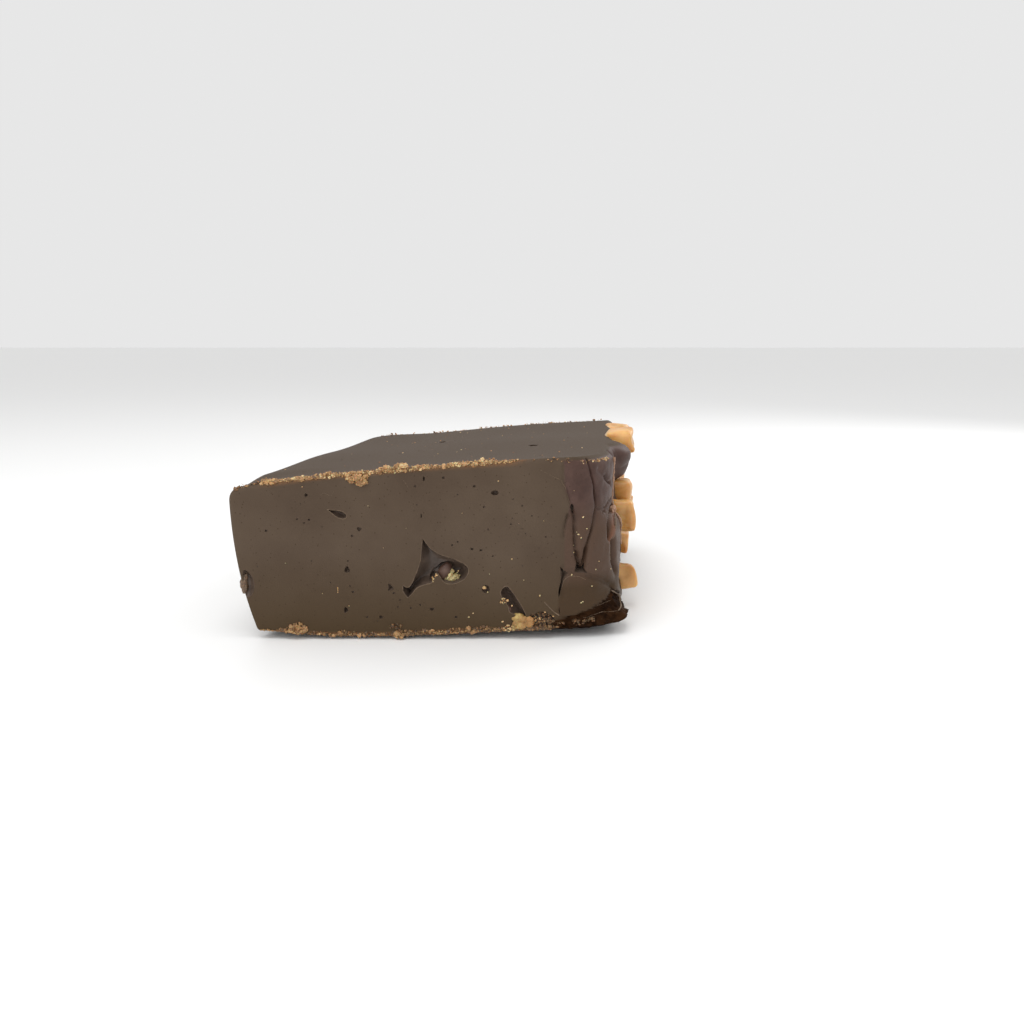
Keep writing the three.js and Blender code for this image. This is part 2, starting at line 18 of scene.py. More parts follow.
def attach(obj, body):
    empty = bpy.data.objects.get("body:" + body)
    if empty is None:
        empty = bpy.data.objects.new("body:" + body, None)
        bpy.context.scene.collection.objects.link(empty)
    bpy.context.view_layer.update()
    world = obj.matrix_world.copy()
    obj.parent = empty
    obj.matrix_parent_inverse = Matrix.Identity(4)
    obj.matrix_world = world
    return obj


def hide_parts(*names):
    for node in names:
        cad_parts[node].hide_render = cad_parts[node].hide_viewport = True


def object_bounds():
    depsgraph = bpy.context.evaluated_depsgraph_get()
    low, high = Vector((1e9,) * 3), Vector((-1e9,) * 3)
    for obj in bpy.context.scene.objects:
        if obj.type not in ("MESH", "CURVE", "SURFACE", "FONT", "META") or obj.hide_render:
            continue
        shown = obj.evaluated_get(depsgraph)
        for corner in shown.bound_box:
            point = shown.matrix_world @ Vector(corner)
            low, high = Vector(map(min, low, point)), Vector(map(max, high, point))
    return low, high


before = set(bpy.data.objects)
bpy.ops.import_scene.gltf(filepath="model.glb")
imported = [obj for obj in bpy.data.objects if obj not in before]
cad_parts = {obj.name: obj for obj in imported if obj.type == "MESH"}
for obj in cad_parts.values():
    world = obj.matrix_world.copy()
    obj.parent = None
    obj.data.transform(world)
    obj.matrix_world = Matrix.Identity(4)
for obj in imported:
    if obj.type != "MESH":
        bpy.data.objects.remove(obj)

# Blender takes its vector noise's seed from the clock unless it is given one.
noise.seed_set(4)
cad_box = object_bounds()
print("packed box, mm:", [round(1000 * (b - a), 1) for a, b in zip(*cad_box)])

# %% [markdown]
# ## Driving sizes
# A slice of fudge is easiest to think of in millimetres, as a cook would measure it, so every size
# below is in millimetres and only the finished meshes are turned into metres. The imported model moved
# everything a little to bring its origin to the middle of its box, and CENTRING repeats that move.

# %% Driving sizes
MM = 0.001
CENTRING = np.array([0.32317, 0.43397, 0.0])
# The straight box that is bent into the slab, and how its edges are rounded.
LENGTH, DEPTH, RISE = 70.0, 72.0, 30.0
BACK = DEPTH / 2
CUT_RADIUS, LEFT_RADIUS, POURED_RADIUS = 0.8, 1.8, 2.4
RADIUS_FADE, WORN_FROM = 8.0, 0.3
# The front cut's ends, how far both sides run to the right on the way back, and the left side's tuck.
CUT_LEFT, CUT_RIGHT = -40.0, 19.0
SKEW_LEFT, SKEW_RIGHT = 13.0, 8.5
LEFT_TUCK, TUCK_POWER = 4.3, 2.2
# The shoulder at the right, its narrow foot, and the broken lip that stands out from the foot.
SHOULDER_WIDTH, SHOULDER_DEPTH = 10.3, 10.0
SHOULDER_LEAN, LEAN_LOW, LEAN_HIGH = 1.7, 19.0, 23.0
FOOT_DEPTH, FOOT_LOW, FOOT_HIGH = 2.6, 3.0, 8.5
LIP_OUT, LIP_AT, LIP_SPREAD = 1.8, 3.2, 1.5
LIP_FULL, LIP_REACH, LIP_BEHIND = 7.0, 12.0, 0.2
# The top, with a low mound at its left.
HEIGHT_LEFT, HEIGHT_RIGHT, HEIGHT_POWER = 26.5, 33.2, 0.5
MOUND, MOUND_FRONT, MOUND_BACK, MOUND_SHARE = 1.0, 3.0, 12.0, 0.3
# How far the underside stands off the table at the front: height, from share to share of the width.
LIFT_FRONT, LIFT_REACH = 0.45, 14.0
LIFTS = [(0.95, 0.24, 0.0), (1.2, 0.35, 0.95), (0.85, 0.93, 1.0)]
# Long shallow waves: height, length.
FRONT_WAVE, TOP_WAVE, POURED_WAVE = (0.16, 14.0), (0.3, 13.0), (0.35, 9.0)


def soft(value):
    """0 below 0, 1 above 1, and a soft step between."""
    s = np.clip(value, 0.0, 1.0)
    return s * s * (3.0 - 2.0 * s)


def ramp(value, start, end):
    """0 at start and before it, 1 at end and beyond it, and a soft step between."""
    return soft((value - start) / (end - start))


def mix(low, high, share):
    return low + (high - low) * share


def unevenness(x, y, z, size):
    """Gentle uneven rises and dips between -1 and 1, about `size` across."""
    first = np.sin(1.9 * x / size + 1.4 * np.sin(1.3 * y / size))
    second = np.sin((2.1 * y + 1.2 * z) / size + 2.0)
    third = np.sin((1.7 * z - 0.8 * x) / size + 4.0)
    return (first + second + third) / 3.0


def to_metres(points):
    """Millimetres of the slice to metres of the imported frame."""
    return (np.asarray(points, float) + CENTRING) * MM


def new_object(name, data):
    """A new object of some data, linked to the scene."""
    made = bpy.data.objects.new(name, data)
    bpy.context.collection.objects.link(made)
    return made


# %% [markdown]
# ## The camera and the light
# The slice is small and close, so perspective matters: the camera stands about 15 cm in front of the
# cut face and looks down by about 11 degrees. The light is that of a white tent of thin cloth: the
# pale room gives most of it, a broad soft lamp overhead shows the relief, a weaker one from the left
# front opens the shadows, and one from the right rear draws a thin light rim along the folds.

# %% Camera
FOCAL = 869.0 / 1024.0
CAMERA_AT = (10.0, -BACK - 150.0, 53.2)
CAMERA_DOWN = math.radians(11.2)

camera_data = bpy.data.cameras.new("camera")
camera_data.sensor_width = 36.0
camera_data.lens = FOCAL * camera_data.sensor_width
camera_data.clip_start = 0.01
camera = new_object("camera", camera_data)
camera.location = to_metres(CAMERA_AT)
camera.rotation_euler = (math.pi / 2 - CAMERA_DOWN, 0.0, 0.0)
bpy.context.scene.camera = camera
print("lens, mm:", round(camera_data.lens, 1))

# %% Lamps, world and floor


def area_lamp(name, at, aim, width, power):
    """A square soft lamp at a place in metres that faces a point."""
    data = bpy.data.lights.new(name, "AREA")
    data.shape = "SQUARE"
    data.size = width
    data.energy = power
    lamp = new_object(name, data)
    lamp.location = at
    lamp.rotation_euler = (Vector(aim) - Vector(at)).to_track_quat("-Z", "Y").to_euler()


area_lamp("lamp_overhead", (-0.08, -0.16, 0.5), (0.0, 0.0, 0.0), 0.4, 1.3)
area_lamp("lamp_front", (-0.3, -0.45, 0.2), (0.0, 0.0, 0.02), 0.3, 0.55)
area_lamp("lamp_rear", (0.3, 0.22, 0.25), (0.03, 0.0, 0.02), 0.2, 0.5)

world = bpy.data.worlds.new("pale_room")
world.use_nodes = True
background = world.node_tree.nodes["Background"]
background.inputs["Color"].default_value = (1.0, 1.0, 1.0, 1.0)
background.inputs["Strength"].default_value = 0.8
bpy.context.scene.world = world
bpy.context.scene.view_settings.view_transform = "Standard"


def object_from(name, bm, materials):
    """A bmesh in metres as a new smooth object at the origin."""
    mesh = bpy.data.meshes.new(name)
    bm.to_mesh(mesh)
    bm.free()
    mesh.shade_smooth()
    for material in materials:
        mesh.materials.append(material)
    return new_object(name, mesh)


pale_floor = bpy.data.materials.new("pale_floor")
pale_floor.use_nodes = True
floor_shader = pale_floor.node_tree.nodes["Principled BSDF"]
floor_shader.inputs["Base Color"].default_value = (0.9, 0.9, 0.895, 1.0)
floor_shader.inputs["Roughness"].default_value = 0.5
floor_mesh = bmesh.new()
bmesh.ops.create_grid(floor_mesh, x_segments=1, y_segments=1, size=6.0)
object_from("floor", floor_mesh, [pale_floor])

# %% [markdown]
# ## The slab's outline
# The slab starts as a straight box. A few formulas bend it into the real slice: the left side tucks in
# at its foot, the top climbs towards the right, both sides run to the right as they go back, and a
# round shoulder joins the cut face to the poured side. At the foot of that shoulder a broken lip
# stands forward. Formulas are used instead of sculpting, so that the same shape can be asked for at
# any point, also to put a crumb on an edge.

# %% Outline formulas


def shoulder_reach(z):
    """How far back the shoulder reaches at a height."""
    return mix(FOOT_DEPTH, SHOULDER_DEPTH, ramp(z, FOOT_LOW, FOOT_HIGH))


def shoulder_width(depth, z):
    """The shoulder's full width: it leans in at the top and has a lip at the front of its foot."""
    lean = SHOULDER_LEAN * ramp(z, LEAN_LOW, LEAN_HIGH)
    lip = LIP_OUT * mix(LIP_BEHIND, 1.0, ramp(depth, LIP_REACH, LIP_FULL))
    return SHOULDER_WIDTH - lean + lip * np.exp(-(((z - LIP_AT) / LIP_SPREAD) ** 2))


def left_side(depth, z):
    tuck = np.clip(1.0 - z / HEIGHT_LEFT, 0.0, 1.0) ** TUCK_POWER
    return CUT_LEFT + SKEW_LEFT * depth / DEPTH + LEFT_TUCK * tuck


def right_side(depth, z):
    left = 1.0 - np.clip(depth / shoulder_reach(z), 0.0, 1.0)
    return CUT_RIGHT + shoulder_width(depth, z) * np.sqrt(1.0 - left * left) + SKEW_RIGHT * depth / DEPTH


def top_height(share, depth):
    """The top's height at a share of the width, from left to right, and a depth."""
    mound = MOUND * ramp(depth, MOUND_FRONT, MOUND_BACK) * ramp(share, MOUND_SHARE, 0.0)
    return mix(HEIGHT_LEFT, HEIGHT_RIGHT, np.clip(share, 0.0, 1.0) ** HEIGHT_POWER) + mound


def lift(share, depth):
    """How far the underside stands off the table."""
    raised = LIFT_FRONT + sum(height * ramp(share, start, end) for height, start, end in LIFTS)
    return ramp(depth, LIFT_REACH, 0.0) * raised


def poured_facing(depth, z):
    """Unit directions in plan in which the poured side faces."""
    step = 0.05
    ahead = right_side(depth + step, z) - right_side(np.maximum(depth - step, 0.0), z)
    run = np.where(depth < step, step, 2.0 * step)
    facing = np.stack([run, -ahead, np.zeros_like(ahead)], axis=-1)
    return facing / np.linalg.norm(facing, axis=-1, keepdims=True)


def rounded_box(points):
    """Rounds the straight box's edges, more where the loaf was poured or is worn."""
    x, _, z = points.T
    poured = ramp(x, LENGTH - RADIUS_FADE, LENGTH)
    worn = ramp(x, RADIUS_FADE, 0.0) * soft(z / RISE - WORN_FROM)
    radius = CUT_RADIUS + (POURED_RADIUS - CUT_RADIUS) * poured + (LEFT_RADIUS - CUT_RADIUS) * worn
    reach = np.stack([radius, np.full_like(radius, CUT_RADIUS), radius], axis=-1)
    inner = np.clip(points, reach, np.array([LENGTH, DEPTH, RISE]) - reach)
    scaled = (points - inner) / reach
    size = np.linalg.norm(scaled, axis=-1, keepdims=True)
    rounded = inner + scaled / np.maximum(size, 1e-9) * reach
    return np.where(size < 1.0, points, rounded)


def bend(points):
    """Bends points of the straight box into the slab, before the poured side gets its folds."""
    x, depth, rise = points.T
    share = np.clip(x / LENGTH, 0.0, 1.0)
    low = lift(share, depth)
    z = low + (top_height(share, depth) - low) * rise / RISE
    across = mix(left_side(depth, z), right_side(depth, z), share)
    return np.stack([across, depth - BACK, z], axis=-1)


# %% [markdown]
# ## Folds of the poured side
# Warm fudge is turned with a scraper as it sets, and folds over itself. Each fold shows as a rounded
# lobe with a dark crease beside it. A crease is drawn as a curve that lies on the bare surface, and the
# surface sinks near it, which leaves the lobes standing. A wide shallow crease rounds the lobes, and a
# narrow one on the same line makes the dark crack between them. Lumps of set fudge are domes.

# %% Creases and lumps: points of each line, depth, width
CREASE_RIGHT = [(22.9, 33.4), (24.1, 29.8), (24.8, 26.9), (25.2, 23.6), (24.4, 20.0), (23.4, 16.5),
                (22.9, 12.9)]
CREASE_LEFT = [(20.8, 23.6), (21.2, 22.1), (21.2, 19.9), (21.25, 18.0), (21.6, 15.8), (22.4, 12.9)]
KNEE = [(19.4, 11.6), (20.6, 12.3), (22.4, 11.9), (24.9, 11.0), (27.0, 9.9), (28.4, 8.6)]
SEAM = [(19.1, 13.4), (19.4, 12.2), (19.1, 10.4), (19.1, 8)]
BROW = [(25.5, 30.5), (26.3, 29.6), (26.9, 29.0), (27.5, 28.1), (28.1, 27.5)]
CHEEK = [(28.8, 22.6), (28.2, 21.2), (27.8, 19.7), (27.8, 17.9)]
GROOVE = [(28.6, 16.9), (28.6, 13.9), (29.2, 11.4)]
SHOULDER_FOLDS = [
    (CREASE_RIGHT[2:], 0.4, 0.55), (CREASE_LEFT, 0.4, 0.5), (KNEE, 0.65, 0.6), (SEAM, 0.7, 0.5),
    (BROW, 0.4, 0.6), (CHEEK, 0.8, 0.45), (GROOVE, 0.9, 0.7),
]
FLANK_FOLDS = [
    ([(13, 33), (15, 26), (14, 17), (18, 10)], 1.6, 1.2),
    ([(29, 32), (26, 23), (29, 15), (27, 7)], 1.7, 1.4),
    ([(38, 33), (42, 27), (40, 18), (43, 9)], 1.5, 1.3),
    ([(57, 32), (54, 24), (56, 14), (52, 6)], 1.7, 1.4),
    ([(10, 9.3), (22, 8), (34, 9.5), (48, 7.5)], 1.2, 1.2),
]
SHOULDER_CRACKS = [
    (CREASE_RIGHT, 1.1, 0.16), (CREASE_LEFT, 1.1, 0.16), (CREASE_LEFT[4:], 0.9, 0.34),
    (CREASE_RIGHT[5:], 0.9, 0.36), (BROW[2:], 0.7, 0.22), (CHEEK, 1.5, 0.32), (GROOVE, 0.6, 0.3),
    ([(19.0, 31.8), (18.95, 28.9), (19.5, 27.9), (19.85, 26.7), (20.35, 25.05)], 0.5, 0.2),
    ([(19.85, 22.9), (19.35, 20.7), (19.1, 18.8)], 0.9, 0.2),
    ([(28.4, 24.5), (27.6, 24.0), (27.1, 23.4), (26.4, 23.35), (25.6, 23.5)], 0.6, 0.18),
    ([(25.6, 23.2), (26.3, 23.0), (27.0, 22.6)], 0.3, 0.14),
    ([(26.4, 22.4), (27.3, 22.9), (28.3, 23.1)], 0.35, 0.15),
]
FLANK_CRACKS = [
    (FLANK_FOLDS[0][0], 0.8, 0.4), (FLANK_FOLDS[1][0], 0.9, 0.45), (FLANK_FOLDS[2][0], 0.7, 0.4),
    (FLANK_FOLDS[3][0], 0.8, 0.45), (FLANK_FOLDS[4][0], 0.5, 0.4),
    ([(16, 30), (20, 28), (24, 29)], 0.4, 0.4), ([(31, 27), (35, 25), (38, 26)], 0.45, 0.4),
    ([(31, 17), (34, 15.5), (39, 17)], 0.4, 0.4), ([(44, 20), (49, 21), (54, 19.5)], 0.5, 0.4),
    ([(45, 29), (50, 28), (54, 29.5)], 0.4, 0.4), ([(58, 26), (63, 28), (69, 27)], 0.45, 0.4),
    ([(57, 13), (62, 12.5), (68, 14)], 0.45, 0.4),
    ([(22, 3.4), (32, 4.4), (44, 3.2), (58, 4.2)], 0.5, 0.5),
]
LUMPS = [(25, 30.4, 5.4, 3.6), (50, 11, 6.0, 1.9), (65, 24, 5.5, 2.1), (10.4, 22.9, 1.0, 0.35)]

# %% Place the creases on the bare surface


def on_shoulder(x, z):
    """A point of the bare shoulder at an x and a height, found on a line around the straight box."""
    front = [(v, 0.0) for v in np.arange(LENGTH - 6.0, LENGTH, 0.1)]
    side = [(LENGTH, v) for v in np.arange(0.0, SHOULDER_DEPTH, 0.05)]
    low = lift(1.0, 0.0)
    rise = RISE * (z - low) / (top_height(1.0, 0.0) - low)
    around = bend(rounded_box(np.array([(*p, rise) for p in front + side])))
    return np.array([x, np.interp(x, around[:, 0], around[:, 1]), z])


def on_flank(depth, z):
    """A point of the bare flank at a depth and a height."""
    return np.array([right_side(np.float64(depth), np.float64(z)), depth - BACK, z])


def curve_between(before, start, end, after, steps):
    """Points of a smooth curve from start up to, but not at, end, bent by the points around them."""
    made = []
    for t in np.arange(steps) / steps:
        bow = 2 * start + (end - before) * t + (2 * before - 5 * start + 4 * end - after) * t**2
        made.append((bow + (3 * start - before - 3 * end + after) * t**3) / 2)
    return made


def smooth_path(controls, spacing):
    """Points about `spacing` apart on a smooth curve through control points."""
    ends = [2 * controls[0] - controls[1], *controls, 2 * controls[-1] - controls[-2]]
    path = []
    for before, start, end, after in zip(ends, ends[1:], ends[2:], ends[3:]):
        steps = max(2, math.ceil(np.linalg.norm(end - start) / spacing))
        path += curve_between(before, start, end, after, steps)
    return np.array([*path, controls[-1]])


def path_on(place, line, spacing):
    """The smooth path of a drawn line, each of whose points a placing function puts on a surface."""
    return smooth_path([place(*point) for point in line], spacing)


def placed(lines, place, spacing):
    return [(path_on(place, line, spacing), depth, width) for line, depth, width in lines]


CREASES = [
    *placed(SHOULDER_FOLDS, on_shoulder, 0.4), *placed(FLANK_FOLDS, on_flank, 0.5),
    *placed(SHOULDER_CRACKS, on_shoulder, 0.12), *placed(FLANK_CRACKS, on_flank, 0.25),
]
print("creases:", len(CREASES))


def nearest(points, path):
    """Each point's distance to the nearest point of a path."""
    best = np.full(len(points), 1e9)
    for on in path:
        best = np.minimum(best, ((points - on) ** 2).sum(1))
    return np.sqrt(best)


# %% [markdown]
# ## Caramel pieces, as sizes
# Where a caramel piece was pressed in, the soft fudge rose a little around it. So the places of the
# pieces are needed now, before the slab gets its relief, and the pieces themselves are made later.

# %% Caramel places: depth, height, size (along, up, thick), how far out, turn, lean
CARAMELS = [
    (24, 23.6, (5.2, 5.0, 5.4), 1.45, 6, -0.1), (18, 19.3, (5.6, 7.0, 5.6), 0.5, -5, -0.16),
    (27, 12.5, (5.2, 5.2, 4.4), -0.1, 12, 0.05), (20, 6.7, (5.6, 5.8, 5.6), 0.7, -10, -0.24),
    (36, 32.2, (7.2, 5.2, 7.4), 1.0, 6, 0.0), (37, 20.6, (7.4, 5.6, 5.0), 0.4, 32, 0.0),
    (37, 12.8, (5.2, 4.4, 4.4), 0.2, -25, 0.1), (46, 24.5, (6.6, 6.0, 5.2), 0.5, 15, 0.1),
    (48, 15.8, (6.0, 4.8, 4.6), 0.9, -35, 0.0), (57, 31.2, (6.8, 5.2, 6.8), 0.8, 10, -0.1),
    (60, 17.5, (6.8, 5.4, 4.8), 0.2, -12, 0.1), (62, 8.0, (5.8, 5.2, 4.6), 0.2, 28, -0.1),
]


COLLAR_HIGH, COLLAR_REACH, COLLAR_SPREAD = 0.35, 0.62, 0.28
CREASE_POWER, DOME_POWER = 1.6, 0.8


def collar(depth, z):
    """The raised rim of fudge around the caramel pieces."""
    out = np.zeros_like(depth)
    for at, height, (along, up, _), _, _, _ in CARAMELS:
        away = np.hypot((depth - at) / (along * COLLAR_REACH), (z - height) / (up * COLLAR_REACH))
        out += COLLAR_HIGH * np.exp(-(((away - 1.0) / COLLAR_SPREAD) ** 2))
    return out


def wave(x, y, z, size):
    """An uneven wave with a height and a length."""
    high, long = size
    return high * unevenness(x, y, z, long)


def poured_relief(points):
    """How far the poured side stands out at points of the bent slab."""
    x, y, z = points.T
    depth = y + BACK
    out = wave(x, y, z, POURED_WAVE) + collar(depth, z)
    for path, deep, width in CREASES:
        low, high = path.min(0) - 4 * width, path.max(0) + 4 * width
        close = ((points > low) & (points < high)).all(1)
        out[close] -= deep * np.exp(-((nearest(points[close], path) / width) ** CREASE_POWER))
    for at, height, radius, stand in LUMPS:
        away = np.hypot(depth - at, z - height) / radius
        out += stand * np.clip(1.0 - away * away, 0.0, 1.0) ** DOME_POWER
    return out


# %% [markdown]
# ## The broken foot
# At the front corner of the foot a piece of the slice broke away. The smooth grey skin ends in a torn
# edge there, and the dark red-brown inside shows, in flat chips that lie in layers. The tear follows a
# slanting line on the shoulder. Below it the surface sinks by the thickness of the skin, and a cell
# pattern that leans with the tear and is squashed in height gives the chips.

# %% Broken foot
TEAR = [(17.0, 2.9), (18.3, 3.55), (20.5, 4.1), (23.0, 4.9), (25.6, 6.0), (27.1, 6.7), (27.8, 7.5),
        (28.4, 8.2), (29.3, 7.6), (30.2, 6.8), (30.8, 5.6), (32.0, 4.6)]
TEAR_FROM, TEAR_FULL = 16.8, 17.4
TEAR_DEPTH, TEAR_REACH = 9.5, 12.0
TEAR_EDGE = 0.25
COARSE_RAG, FINE_RAG = (0.16, 1.3), (0.07, 0.5)
NO_TEAR = -9.0
SKIN = 0.45
CHIP_LAYERS = np.array([1.0, 1.0, 2.1])
CHIP_LEAN, CHIP_SLANT = 0.3, 0.9
COARSE_CHIPS, FINE_CHIPS = (0.22, 3.0), (0.1, 1.1)


def tear_height(x, y):
    """The height of the tear's edge, which wanders a little."""
    xs, zs = np.array(TEAR).T
    ragged = wave(x * 1.7, y, 0.0 * x, COARSE_RAG) + wave(x, y * 2.0, x, FINE_RAG)
    return np.interp(x, xs, zs, left=NO_TEAR) + ragged


def broken_share(points):
    """1 below the tear, 0 above it, for points of the bent slab."""
    x, y, z = points.T
    below = soft((tear_height(x, y) - z) / TEAR_EDGE + 0.5)
    near = ramp(y + BACK, TEAR_REACH, TEAR_DEPTH)
    return below * near * ramp(x, TEAR_FROM, TEAR_FULL)


def chips(points, high, size):
    """Flat chips of a cell pattern, up to `high` out or in, each one slanted a little."""
    leaning = points - np.array([0.0, 0.0, CHIP_LEAN]) * points[:, :1]
    made = np.empty(len(points))
    for i, p in enumerate(leaning * CHIP_LAYERS / size):
        middle = noise.voronoi(Vector(p))[1][0]
        slant = (Vector(p) - middle).dot(noise.cell_vector(middle * 5.7))
        made[i] = 2.0 * noise.cell(middle * 3.1) - 1.0 + CHIP_SLANT * slant
    return high * made


# %% [markdown]
# ## From box to slab
# The formulas are joined here. They take points of the straight box and give points of the finished
# slab. The cut faces are not quite flat either: the knife leaves them in long shallow waves.

# %% Finished slab points
RELIEF_FADE = 3.0
TOP_SKIN = 1.0


def front_wave(x, z):
    return wave(x, 0.0 * x, z, FRONT_WAVE)


def slab_points(box_points):
    """Points of the finished slab for points of the straight box."""
    rounded = rounded_box(np.atleast_2d(np.asarray(box_points, float)))
    bent = bend(rounded)
    share = ramp(rounded[:, 0], LENGTH - RELIEF_FADE, LENGTH)
    side = share > 0.0
    facing = poured_facing(rounded[side, 1], bent[side, 2])
    bent[side] += facing * (share[side] * poured_relief(bent[side]))[:, None]
    x, y, z = bent.T
    on_front, on_top = rounded[:, 1] < CUT_RADIUS, rounded[:, 2] > RISE - TOP_SKIN
    bent[:, 1] += np.where(on_front, front_wave(x, z) * (1.0 - share), 0.0)
    bent[:, 2] += np.where(on_top, wave(x, y, 0.0 * x, TOP_WAVE), 0.0)
    return bent


def grow(step, growth, widest, until):
    """Grid lines from 0 whose spacing grows to `widest`."""
    lines = [0.0]
    while lines[-1] < until:
        lines.append(lines[-1] + step)
        step = min(step * growth, widest)
    return lines


def grid_lines(length, start, end):
    """Grid lines over a length, each end with its own first step, growth and widest step."""
    first = [v for v in grow(*start, length / 2) if v < length / 2]
    last = [length - v for v in grow(*end, length / 2) if v < length / 2]
    return np.array(first + last[::-1])


# %% [markdown]
# ## The slab's mesh
# A cube is subdivided along each of its three directions in turn, which leaves a grid of clean quads
# on every face. Its vertices are then sent to grid lines that crowd together at the edges, and most of
# all on the shoulder with its cracks, and through the formulas above. One continuous mesh has no
# seams, and it can be cut by the air pockets next.

# %% Grid lines: first step, growth and widest step of each stretch
LEFT_END, RIGHT_END = (0.14, 1.4, 1.4), (0.12, 1.06, 1.4)
LOW_END, HIGH_END = (0.12, 1.15, 0.34), (0.14, 1.15, 0.34)
FLANK_START, FLANK_RUN, FLANK_GROWTH = 9.5, 30.0, (0.3, 1.12, 0.7)
BACK_RUN, BACK_GROWTH, BACK_GAP = 33.0, (0.14, 1.3, 0.7), 0.3
FRONT_STEP = 0.115
SHOULDER_ANGLES = np.arange(0.4, 1.5, 0.0175)
front_steps = list(np.arange(0.0, CUT_RADIUS, FRONT_STEP))
shoulder_steps = list(SHOULDER_DEPTH * (1.0 - np.cos(SHOULDER_ANGLES)))
flank_steps = [FLANK_START + v for v in grow(*FLANK_GROWTH, FLANK_RUN) if v < FLANK_RUN]
back_steps = [DEPTH - v for v in grow(*BACK_GROWTH, BACK_RUN) if DEPTH - v > flank_steps[-1] + BACK_GAP]
SLAB_LINES = [
    grid_lines(LENGTH, LEFT_END, RIGHT_END),
    np.array(front_steps + shoulder_steps + flank_steps + back_steps[::-1]),
    grid_lines(RISE, LOW_END, HIGH_END),
]
print("grid lines:", [len(lines) for lines in SLAB_LINES])

# %% Make the slab


def split_along(bm, axis, cuts):
    """Subdivides every edge that runs along one axis."""
    other = [i for i in range(3) if i != axis]
    edges = [
        e for e in bm.edges
        if all(abs(e.verts[0].co[i] - e.verts[1].co[i]) < 1e-6 for i in other)
    ]
    bmesh.ops.subdivide_edges(bm, edges=edges, cuts=cuts, use_grid_fill=True)


slab_mesh = bmesh.new()
bmesh.ops.create_cube(slab_mesh, size=1.0)
for axis, lines in enumerate(SLAB_LINES):
    split_along(slab_mesh, axis, len(lines) - 2)
unit = np.array([v.co for v in slab_mesh.verts]) + 0.5
box_grid = np.stack(
    [lines[np.rint(unit[:, i] * (len(lines) - 1)).astype(int)] for i, lines in enumerate(SLAB_LINES)],
    axis=-1,
)
shaped = slab_points(box_grid)
print("slab grid vertices:", len(shaped))

# %% [markdown]
# Now the fine finish of the poured skin and of the broken foot is added. Both are noise that is far
# smaller than the folds, so it is worked out for those vertices alone.

# %% Fine finish of the poured side and the broken foot
FINISH_FADE = 2.0
FINISH_HIGH, FINISH_SIZE = 0.13, 2.6


def soft_noise(points, size, octaves):
    """Fine soft noise between about -1 and 1."""
    return np.array([noise.fractal(Vector(p), 1.0, 2.0, octaves) for p in points / size])


def facing_at(points):
    return poured_facing(np.clip(points[:, 1] + BACK, 0.0, DEPTH), points[:, 2])


poured_share = ramp(box_grid[:, 0], LENGTH - FINISH_FADE, LENGTH)
on_side = poured_share > 0.02
fine = FINISH_HIGH * soft_noise(shaped[on_side], FINISH_SIZE, 3) * poured_share[on_side]
shaped[on_side] += facing_at(shaped[on_side]) * fine[:, None]

in_break = broken_share(shaped) > 0.01
share = broken_share(shaped[in_break])
rough = chips(shaped[in_break], *COARSE_CHIPS) + chips(shaped[in_break], *FINE_CHIPS)
shaped[in_break] += facing_at(shaped[in_break]) * (share * (rough - SKIN))[:, None]

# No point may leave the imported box, so the last few hundredths of a millimetre are held back.
for vertex, place in zip(slab_mesh.verts, np.clip(to_metres(shaped), *cad_box)):
    vertex.co = place
print("vertices in the break:", int(in_break.sum()))

# %% [markdown]
# ## Materials
# Fudge has one body colour with two surfaces. The knife smears the cut face into a matt grey-brown
# film. The poured skin is a little darker, more purple and glossier. Broken fudge is a dark red-brown
# and quite dull. One shader group gives them all their uneven colour and their fine grain, each with
# its own values, so they look like one sweet.

# %% Shader helpers


def new_group(name, inputs, outputs):
    """An empty shader group with named sockets."""
    group = bpy.data.node_groups.new(name, "ShaderNodeTree")
    for label, kind, default in inputs:
        socket = group.interface.new_socket(label, in_out="INPUT", socket_type=kind)
        if default is not None:
            socket.default_value = default
    for label in outputs:
        group.interface.new_socket(label, in_out="OUTPUT", socket_type="NodeSocketFloat")
    return group


def set_values(node, **values):
    """Sets inputs of a node by name, and its properties."""
    for key, value in values.items():
        label = key.replace("_", " ")
        if label in node.inputs:
            node.inputs[label].default_value = value
        else:
            setattr(node, key, value)


def add(tree, kind, **values):
    """A new node with some of its values set."""
    node = tree.nodes.new(kind)
    set_values(node, **values)
    return node


def seen(red, green, blue):
    """A colour as seen on a screen, 0 to 255, for a colour socket."""
    def one(v):
        v /= 255.0
        return v / 12.92 if v <= 0.04045 else ((v + 0.055) / 1.055) ** 2.4
    return (one(red), one(green), one(blue), 1.0)


# %% Shader group for mottling and grain


